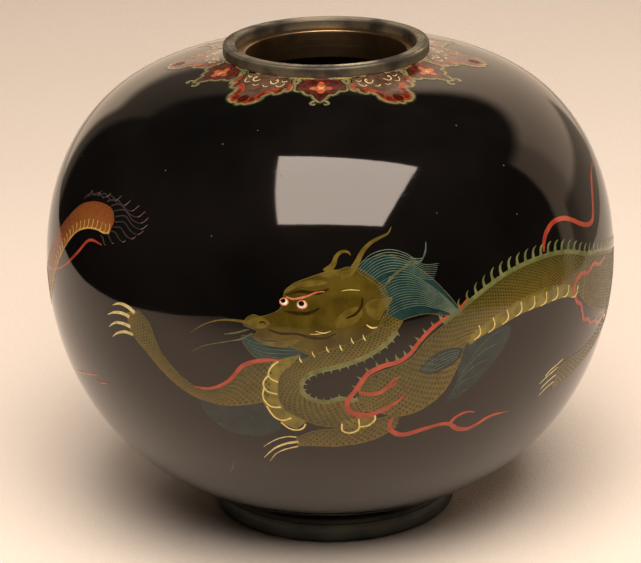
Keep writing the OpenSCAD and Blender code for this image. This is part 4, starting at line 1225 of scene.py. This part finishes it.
TEAL = fired_enamel("teal_hair_enamel", tint(38, 60, 56), tint(26, 42, 42), 0.06, cloud=260).made
MANE = [(4.6, 75.0), (7.0, 76.8), (10.0, 77.4), (13.0, 76.6), (16.0, 74.8), (19.0, 72.2),
        (21.8, 68.8), (24.2, 65.2), (24.8, 63.6), (22.0, 63.9), (17.6, 65.0), (13.4, 64.4),
        (10.2, 63.0), (8.8, 64.2), (10.4, 66.6), (9.8, 69.6), (8.0, 72.2)]
BEARD = [(-17.0, 61.4), (-16.6, 59.6), (-15.0, 57.4), (-12.4, 55.9), (-9.0, 55.7), (-5.4, 56.6),
         (-4.2, 58.4), (-7.4, 59.6), (-10.2, 60.8), (-13.8, 61.2)]
KNEE = [(24.2, 57.0), (27.6, 57.8), (31.4, 59.4), (35.4, 59.0), (35.0, 56.2), (32.2, 52.2),
        (28.6, 48.6), (24.2, 45.2), (21.8, 45.2), (23.8, 49.6)]
FLANK = [(16.0, 53.2), (18.4, 55.8), (21.6, 57.0), (24.8, 56.4), (24.4, 54.6), (21.4, 52.6),
         (18.2, 51.8)]
ELBOW = [(-14.0, 46.6), (-17.6, 45.6), (-22.0, 45.4), (-26.6, 46.0), (-25.6, 42.4), (-21.0, 38.6),
         (-15.0, 38.4), (-10.6, 40.8), (-11.6, 43.6)]
piece("hair_cells", slabs("hair_cells", [through(q, 3, True) for q in (MANE, BEARD)], on_body,
                          0.012), TEAL, "teal_enamel", "dragon_mane")
SLATE = fired_enamel("slate_hair_enamel", tint(32, 48, 47), tint(22, 34, 34), 0.06, cloud=300).made
dark_hair = [slabs("leg_hair", [through(q, 3, True) for q in (ELBOW, KNEE)], on_body, 0.008),
             slabs("flank_hair", [through(FLANK, 3, True)], on_body, 0.041)]
piece("dark_hair_cells", joined("dark_hair_cells", dark_hair), SLATE, "teal_enamel")


def combed(first, last, count, half, ease=1.0):
    """Lines that pass evenly from one line to another."""
    made = []
    for k in range(count):
        t = (k / (count - 1)) ** ease
        line = [(a + (c - a) * t, b + (d - b) * t) for (a, b), (c, d) in zip(first, last)]
        line = through(line, 5)
        n = len(line) - 1
        made.append(([(a, h, half * (0.35 + 0.65 * math.sin(math.pi * (0.12 + 0.8 * i / n))))
                      for i, (a, h) in enumerate(line)], False))
    return made


HAIR_WIRE = Finish("combed_hair_wire", Metallic=0.2)
sheen = HAIR_WIRE.cloud(600, 3)
HAIR_WIRE.feed({"Base Color": HAIR_WIRE.blend(sheen.between(0.35, 0.7), tint(98, 110, 88),
                                              tint(66, 84, 72)),
                "Roughness": sheen * 0.2 + 0.3})
strands = combed([(4.6, 75.2), (7.6, 77.6), (11.2, 78.3), (14.6, 77.2), (17.6, 74.9),
                  (20.9, 74.6)],
                 [(7.6, 72.6), (9.6, 73.8), (12.0, 74.2), (14.6, 73.6), (17.2, 72.2),
                  (19.6, 71.6)], 9, 0.075)
strands += combed([(8.6, 71.8), (12.0, 73.4), (15.6, 72.8), (19.2, 70.2), (22.4, 66.8),
                   (24.6, 63.8)],
                  [(10.2, 65.2), (13.0, 66.6), (16.4, 66.9), (19.2, 66.0), (21.8, 64.8),
                   (23.6, 63.9)], 14, 0.07)
strands += combed([(15.0, 76.4), (17.6, 76.0), (18.6, 77.4), (18.8, 79.0)],
                  [(14.0, 75.2), (17.0, 75.2), (18.2, 76.8), (18.6, 78.0)], 3, 0.09)
strands += combed([(-16.6, 60.8), (-14.0, 59.9), (-10.6, 59.6), (-6.6, 59.2)],
                  [(-14.4, 57.4), (-12.0, 56.4), (-9.0, 56.3), (-5.8, 57.2)], 5, 0.045)
strands += combed([(34.6, 58.8), (31.0, 57.8), (27.4, 54.8), (24.6, 50.6)],
                  [(26.4, 46.8), (25.0, 46.6), (23.6, 46.4), (22.6, 46.2)], 5, 0.04)
strands += combed([(24.2, 56.2), (21.4, 56.2), (18.6, 54.8), (16.6, 53.4)],
                  [(23.8, 54.8), (21.2, 53.4), (18.8, 52.6), (16.8, 52.9)], 5, 0.055)
piece("combed_hair_wires", ribbons("combed_hair_wires", strands, on_body, 0.046,
                                   HAIR_WIRE.made), HAIR_WIRE.made, "wire")
WISP = fired_enamel("dull_green_wisp_enamel", tint(92, 92, 62), tint(66, 70, 48), cloud=700).made
wisps = drawn([
    [(9.6, 71.0, 0.2), (11.4, 73.0, 0.28), (13.8, 74.6, 0.22), (16.6, 75.4, 0.1)],
    [(-15.6, 62.8, 0.12), (-18.0, 61.9, 0.2), (-20.4, 61.3, 0.08)],
    [(-15.0, 62.0, 0.12), (-17.2, 60.6, 0.16), (-19.0, 60.0, 0.06)],
    [(-16.2, 60.9, 0.08), (-20.6, 59.6, 0.09), (-24.8, 58.2, 0.07), (-27.4, 56.4, 0.04)],
    [(-24.4, 26.4, 0.04), (-23.0, 28.6, 0.09), (-21.9, 31.0, 0.04)]])
piece("pale_wisps", ribbons("pale_wisps", wisps, on_body, 0.048, WISP), WISP, "sage_enamel")


# ---------------------------------------------------------------- flames
# Brick-red enamel between two wires, licking out from the shoulders and joints.

RED = fired_enamel("brick_red_enamel", tint(168, 72, 50), tint(138, 52, 36), 0.05, cloud=300).made
FLAMES = [
    [(22.0, 64.0, 0.15), (20.4, 63.0, 0.34), (18.0, 61.3, 0.42), (15.8, 59.0, 0.42),
     (14.2, 56.9, 0.42), (12.0, 55.5, 0.45), (9.2, 54.9, 0.5), (6.6, 53.6, 0.52),
     (5.1, 51.6, 0.52), (3.9, 49.6, 0.5), (2.7, 47.8, 0.5), (2.4, 46.0, 0.55),
     (3.6, 44.4, 0.6), (6.0, 43.8, 0.6), (8.4, 44.4, 0.5), (10.6, 45.5, 0.38),
     (12.6, 47.0, 0.25), (13.6, 48.6, 0.1)],
    [(4.6, 49.4, 0.3), (6.2, 48.8, 0.42), (8.4, 48.9, 0.42), (10.0, 50.0, 0.34),
     (11.2, 51.6, 0.24), (12.4, 52.2, 0.1)],
    [(9.6, 50.0, 0.2), (11.0, 50.2, 0.2), (11.8, 51.2, 0.08)],
    [(11.4, 42.8, 0.2), (10.7, 41.2, 0.42), (11.2, 39.4, 0.55), (13.6, 38.1, 0.58),
     (17.5, 38.8, 0.5), (21.0, 39.4, 0.42), (23.4, 39.0, 0.5), (25.4, 37.4, 0.55),
     (27.8, 36.8, 0.5), (30.0, 37.4, 0.45), (32.4, 38.5, 0.38), (34.6, 38.7, 0.28),
     (37.6, 38.5, 0.1)],
    [(23.2, 38.8, 0.4), (24.2, 40.2, 0.36), (25.8, 41.1, 0.3), (27.4, 41.2, 0.2),
     (28.8, 40.7, 0.08)],
    [(-9.8, 56.4, 0.2), (-12.2, 56.5, 0.36), (-15.0, 55.9, 0.42), (-17.3, 54.6, 0.42),
     (-19.4, 51.8, 0.4), (-21.8, 49.8, 0.34), (-24.4, 48.7, 0.28), (-27.5, 48.6, 0.1)],
    [(45.8, 71.8, 0.2), (46.2, 73.4, 0.42), (47.6, 75.2, 0.5), (50.4, 76.6, 0.5),
     (54.0, 76.5, 0.5), (57.0, 75.3, 0.5), (60.0, 73.6, 0.5), (63.0, 72.5, 0.5),
     (65.6, 72.5, 0.5), (67.4, 74.0, 0.46), (69.4, 76.4, 0.4), (72.0, 78.8, 0.36),
     (75.0, 80.4, 0.26), (79.0, 81.0, 0.1)],
    [(24.0, 64.6, 0.1), (25.0, 65.6, 0.26), (26.2, 66.8, 0.1)],
    [(54.6, 62.6, 0.35), (54.3, 60.6, 0.42), (55.0, 58.4, 0.42), (56.6, 57.2, 0.42),
     (57.4, 55.4, 0.42), (58.4, 53.2, 0.42), (60.6, 52.4, 0.42), (62.0, 51.0, 0.42),
     (64.6, 50.6, 0.42), (66.4, 49.4, 0.4), (70.0, 49.4, 0.36), (74.0, 48.4, 0.3)],
    [(54.6, 62.6, 0.35), (57.2, 63.8, 0.4), (60.0, 63.0, 0.4), (63.0, 64.0, 0.4),
     (66.2, 62.8, 0.36), (70.0, 63.2, 0.2)],
    [(-51.5, 73.7, 0.1), (-56.0, 73.5, 0.3), (-60.0, 69.6, 0.3), (-66.0, 64.8, 0.26),
     (-74.0, 61.6, 0.18), (-82.0, 59.6, 0.08)],
    [(-69.0, 39.6, 0.08), (-66.0, 40.6, 0.2), (-62.0, 41.6, 0.26), (-58.0, 42.8, 0.22),
     (-55.0, 43.8, 0.1)], [(-56.2, 42.2, 0.08), (-54.0, 42.1, 0.18), (-51.5, 43.0, 0.06)],
    [(112, 62, 0.2), (117, 65.5, 0.5), (123, 68, 0.55), (130, 68.4, 0.5), (136, 71, 0.45),
     (143, 75, 0.35), (151, 76.4, 0.1)],
    [(124, 67.8, 0.4), (127, 71.4, 0.36), (132, 74.0, 0.24), (137, 74.6, 0.08)],
    [(206, 47.5, 0.2), (211, 43.2, 0.5), (217, 40.8, 0.55), (224, 40.6, 0.5), (230, 42.4, 0.45),
     (237, 41.6, 0.35), (244, 39.4, 0.1)],
    [(222, 40.4, 0.4), (226, 37.8, 0.34), (231, 36.6, 0.2), (236, 36.8, 0.08)],
    [(244, 58.0, 0.2), (248, 61.6, 0.45), (254, 63.6, 0.5), (260, 63.2, 0.4), (266, 65.4, 0.1)]]
piece("red_flame_tongues", ribbons("red_flame_tongues", drawn(FLAMES, steps=5), on_body, 0.050,
                                   RED), RED, "red_enamel", "red_flames")


# ---------------------------------------------------------------- claws
# Cream enamel in slim curved cells at the ends of the feet.

CLAW = fired_enamel("claw_enamel", tint(214, 196, 136), tint(184, 158, 92), cloud=800).made
CLAWS = [
    [(-46.4, 62.4, 0.06), (-44.5, 63.2, 0.26), (-42.4, 63.1, 0.36), (-40.4, 62.2, 0.4)],
    [(-48.0, 59.9, 0.06), (-46.0, 60.9, 0.26), (-43.8, 61.3, 0.34), (-41.8, 61.0, 0.36)],
    [(-47.7, 57.3, 0.06), (-45.8, 58.7, 0.26), (-43.6, 59.1, 0.34), (-41.6, 58.9, 0.36)],
    [(-46.9, 55.3, 0.06), (-45.2, 56.6, 0.24), (-43.0, 57.4, 0.32), (-41.0, 57.3, 0.34)],
    [(-7.3, 37.4, 0.30), (-9.8, 36.8, 0.26), (-12.4, 35.3, 0.18), (-14.9, 32.6, 0.06)],
    [(-7.4, 36.2, 0.16), (-10.0, 35.3, 0.14), (-12.2, 33.9, 0.1), (-13.8, 31.7, 0.04)],
    [(-7.6, 38.6, 0.12), (-9.6, 38.6, 0.12), (-12.0, 37.6, 0.1), (-14.6, 35.6, 0.04)],
    [(52.0, 46.2, 0.14), (50.2, 45.6, 0.16), (48.0, 44.9, 0.14), (46.8, 44.0, 0.06)],
    [(50.6, 44.8, 0.16), (48.8, 44.2, 0.16), (47.0, 43.5, 0.12), (45.4, 42.6, 0.05)],
    [(50.6, 43.0, 0.16), (49.0, 42.6, 0.16), (47.4, 41.9, 0.12), (46.0, 41.0, 0.05)],
    [(50.4, 41.4, 0.16), (49.0, 41.0, 0.16), (47.6, 40.4, 0.12), (46.2, 39.4, 0.05)]]
CLAWS += [[(167 - k * 0.6, 44 - k * 1.7, 0.4), (163.6 - k * 0.6, 44.8 - k * 2.1, 0.34),
           (160.6 - k * 0.4, 44.2 - k * 2.4, 0.24), (158 - k * 0.3, 42.6 - k * 2.6, 0.06)]
          for k in range(4)]
piece("claw_cells", ribbons("claw_cells", drawn(CLAWS), on_body, 0.050, CLAW), CLAW,
      "cream_enamel", "claws")


# ---------------------------------------------------------------- tail
# The tail's end is orange-brown enamel under gold hoops, with a comb of bent gold strips along its
# inside and a fringe of fine dark strands that turn up at their tips.

TAIL = [(-94, 52.0, -90, 46.0), (-86, 56.4, -82.5, 50.2), (-80.0, 61.2, -77.4, 54.0),
        (-75.6, 66.0, -73.0, 58.6), (-71.4, 71.0, -69.0, 64.8), (-67.2, 75.2, -65.2, 70.0),
        (-63.2, 78.8, -61.6, 73.6), (-58.6, 80.8, -57.6, 75.5), (-54.2, 81.4, -54.0, 76.1),
        (-50.8, 80.9, -51.6, 76.0), (-49.2, 79.0, -49.9, 76.4)]
TAIL_FINISH = scaled_hide("orange_tail_enamel", tint(96, 54, 30), tint(122, 68, 36),
                          tint(130, 84, 44), tint(84, 74, 31))
tail = band_between("tail_hide_band", TAIL, 0.030)
piece("tail_hide_band", tail, TAIL_FINISH, "tail_enamel", "tail_hide")
TAIL_GOLD = fired_enamel("tail_gold_strip", tint(210, 166, 92), tint(166, 122, 60), cloud=900).made
comb_shape = cut_shape([(0.1, 1.9), (-0.1, 1.9), (-0.06, 0.9), (-0.3, 0.4), (-0.9, 0.12),
                        (-0.9, -0.08), (-0.2, 0.1), (0.1, 0.6)], 0.15)
tail_edge = [(c, d + 0.1, 1.0) for _, _, c, d in through(TAIL, 5)]
tail_strips = [set_along("tail_comb", comb_shape, [(tail_edge, False)], 0.05, TAIL_GOLD, 1.55),
               ribbons("tail_edge", [([(a, h, 0.15) for a, h, _ in tail_edge], False)], on_body,
                       0.05, TAIL_GOLD)]
piece("tail_gold_strips", joined("tail_gold_strips", tail_strips), TAIL_GOLD, "wire")
TAIL_WIRE = fired_enamel("tail_scale_wire", tint(150, 96, 50), tint(120, 72, 38), cloud=700).made
piece("tail_scale_wires", set_along("tail_scale_wires", hoop_shape, scale_rows(TAIL), 0.040,
                                    TAIL_WIRE), TAIL_WIRE, "wire")
FRINGE_STRANDS, FRINGE_AT, FRINGE_ROUND = 14, (-56.0, 78.6), (7.2, 3.6)


def fringe_strand(share):
    """One strand, from its share of the way round the tail's end. It ripples and turns up."""
    root_turn = math.radians(150 - 210 * share)
    a = FRINGE_AT[0] + FRINGE_ROUND[0] * math.cos(root_turn)
    h = FRINGE_AT[1] + FRINGE_ROUND[1] * math.sin(root_turn)
    reach, rise = 2.2 + 8.2 * math.sin(math.pi * min(1, share * 1.05)), 2.2 - 3.8 * share
    return [(a + reach * k, h + rise * k + ripple * reach / 10)
            for k, ripple in ((0, 0), (0.3, 0.8), (0.6, -0.5), (0.85, -0.7), (1, 0.5))]


def tapered(points, half, root=0.9, end=0.25):
    """A line of points with widths that swell a little and then run out."""
    line = through(points, 5)
    n = len(line) - 1
    return [(a, h, half * (root + (end - root) * (i / n) ** 2)) for i, (a, h) in enumerate(line)]


DARK_FRINGE = fired_enamel("dark_fringe_enamel", tint(62, 48, 46), tint(44, 46, 48), cloud=500).made
fringe_lines = [(tapered(fringe_strand(k / (FRINGE_STRANDS - 1)), 0.16), False)
                for k in range(FRINGE_STRANDS)]
piece("tail_fringe", ribbons("tail_fringe", fringe_lines, on_body, 0.046, DARK_FRINGE),
      DARK_FRINGE, "teal_enamel")
TIP = fired_enamel("fringe_tip_enamel", tint(128, 98, 84), tint(96, 76, 66), cloud=900).made
tips = [(line[-6:], False) for line, _ in fringe_lines]
piece("tail_fringe_tips", ribbons("tail_fringe_tips", tips, on_body, 0.052, TIP), TIP,
      "cream_enamel")


# ---------------------------------------------------------------- edge wires
# Thin copper wire, once gilt, stands on edge along the outline of every large cell.

outlines = [([(a, h, 0.055) for a, h, _ in edge_of(rails, side)], False)
            for key, rails in LIMBS.items() for side in (0, 1)]
outlines += [([(a, h, 0.05) for a, h in through(q, 3, True)], True)
             for q in (HEAD, MANE, BEARD, EAR)]
piece("outline_wires", ribbons("outline_wires", outlines, on_body, 0.044, SCALE_GOLD.made),
      SCALE_GOLD.made, "wire", "dragon_wires")

for shape in (hoop_shape, drop_shape, spine_shape, tooth_shape, hook_shape, comb_shape):
    bpy.data.objects.remove(shape)


# ---------------------------------------------------------------- table, lamps and camera
# None of this belongs to the vase: a cloth-covered table, one large soft box over the front, and a
# dark room with a pale wall behind.

def table_cloth():
    cloth = Finish("table_cloth", Roughness=0.9)
    weave = cloth.cloud(1, 2, cloth.stretched((1800, 500, 1))) + cloth.cloud(
        1, 2, cloth.stretched((500, 1800, 1)))
    shade = cloth.cloud(3, 2)
    # Painted shade: the cloth's colour runs dark towards the table's front edge, so the table and its
    # reflection low on the vase look darker there
    depth = cloth.node("ShaderNodeSeparateXYZ", {}, {"Vector": cloth.place}, "Y")
    pale = cloth.blend(shade.between(0.3, 0.7), (0.755, 0.632, 0.528), (0.795, 0.676, 0.572))
    cloth.feed({"Base Color": cloth.blend(depth.between(-0.36, -0.10), (0.22, 0.18, 0.15), pale)})
    cloth.bumps(weave, 0.0002)
    return cloth.made


def flat_sheet(name, x0, x1, y0, y1, z=-0.0002):
    mesh = bpy.data.meshes.new(name)
    mesh.from_pydata([(x0, y0, z), (x1, y0, z), (x1, y1, z), (x0, y1, z)], [], [(0, 1, 2, 3)])
    made = bpy.data.objects.new(name, mesh)
    bpy.context.scene.collection.objects.link(made)
    return made


CLOTH = table_cloth()
TABLE_X, TABLE_FRONT, TABLE_BACK, FAR = 0.31, -0.37, 0.9, 6.0
near_table = flat_sheet("near_table", -TABLE_X, TABLE_X, TABLE_FRONT, TABLE_BACK)
far_table = [flat_sheet("far_table_front", -FAR, FAR, -FAR, TABLE_FRONT),
             flat_sheet("far_table_back", -FAR, FAR, TABLE_BACK, FAR),
             flat_sheet("far_table_left", -FAR, -TABLE_X, TABLE_FRONT, TABLE_BACK),
             flat_sheet("far_table_right", TABLE_X, FAR, TABLE_FRONT, TABLE_BACK)]
for sheet in (near_table, *far_table):
    sheet.data.materials.append(CLOTH)
for sheet in far_table:
    sheet.visible_glossy = False
    sheet.visible_diffuse = False

# The soft box, by its centre and its two half sides
BOX_AT = (0.091, -0.475, 0.874)
BOX_ACROSS, BOX_DOWN = Vector((0.364, -0.077, 0.036)), Vector((0.036, 0.361, 0.162))
soft = bpy.data.lights.new("soft_box", "AREA")
soft.shape = "RECTANGLE"
soft.size, soft.size_y = BOX_ACROSS.length * 2, BOX_DOWN.length * 2
soft.energy, soft.color = 18.0, (1.0, 0.93, 0.86)
soft_box = bpy.data.objects.new("soft_box", soft)
across, down = BOX_ACROSS.normalized(), BOX_DOWN.normalized()
facing = across.cross(down).normalized()
down = facing.cross(across)
soft_box.matrix_world = Matrix.Translation(BOX_AT) @ Matrix(
    (across, down, facing)).transposed().to_4x4()
bpy.context.scene.collection.objects.link(soft_box)

fill = bpy.data.lights.new("wide_fill", "AREA")
fill.size, fill.energy, fill.color = 2.5, 21.0, (1.0, 0.91, 0.84)
fill_lamp = bpy.data.objects.new("wide_fill", fill)
fill_lamp.location = (-0.4, 1.1, 2.6)
fill_lamp.rotation_euler = (-fill_lamp.location).to_track_quat("-Z", "Y").to_euler()
fill_lamp.visible_glossy = False
bpy.context.scene.collection.objects.link(fill_lamp)


class Surroundings(Finish):
    """A world's nodes, worked with as a finish's are."""

    def __init__(self, world):
        world.use_nodes = True
        self.tree = world.node_tree
        self.tree.nodes.clear()


def room():
    """Pale to the camera. To the vase, a dark room with a pale wall low behind it."""
    world = bpy.data.worlds.new("room")
    sky = Surroundings(world)
    look = sky.node("ShaderNodeTexCoord", out="Generated")
    x, y, z = (sky.node("ShaderNodeSeparateXYZ", {}, {"Vector": look}, axis) for axis in "XYZ")
    round_by = x.worked("ARCTAN2", x, y * -1)
    right = round_by.between(1.80, 1.86) * (1 - z.between(0.50, 0.60))
    grey = 0.62 + round_by.between(2.05, 2.20) * 0.38
    clutter = round_by.between(1.95, 2.00) * (1 - round_by.between(2.72, 2.78)) * (
        1 - z.between(0.06, 0.14))
    left = (1 - round_by.between(-2.72, -2.63)) * (1 - z.between(0.20, 0.32))
    gloom = (1 - round_by.between(-2.60, -2.50)) * (1 - z.between(0.50, 0.58))
    wall = right * grey * (1 - clutter * 0.68) + left * 0.85 + gloom * 0.15
    seen = sky.blend(wall, (0.012, 0.010, 0.009), (1.05, 0.80, 0.58))
    camera = sky.node("ShaderNodeLightPath", out="Is Camera Ray")
    colour = sky.blend(camera, seen, (0.80, 0.64, 0.51))
    back = sky.node("ShaderNodeBackground", {}, {"Color": colour, "Strength": 1.0})
    sky.join(sky.tree.nodes.new("ShaderNodeOutputWorld"), {"Surface": back})
    return world


bpy.context.scene.world = room()
bpy.context.scene.view_settings.view_transform = "Standard"

CAMERA_AT, CAMERA_ON, ROLL = Vector((-2.26, -570.3, 254.8)), Vector((-2.26, 0, 51.2)), -1.22
eye = bpy.data.cameras.new("camera")
eye.lens, eye.sensor_width = 153.0, 36
eye.clip_start, eye.clip_end = 0.01, 50
camera = bpy.data.objects.new("camera", eye)
camera.matrix_world = Matrix.Translation(CAMERA_AT * MM) @ (
    (CAMERA_ON - CAMERA_AT).to_track_quat("-Z", "Y").to_matrix().to_4x4()
    @ Matrix.Rotation(math.radians(ROLL), 4, "Z"))
bpy.context.scene.collection.objects.link(camera)
bpy.context.scene.camera = camera
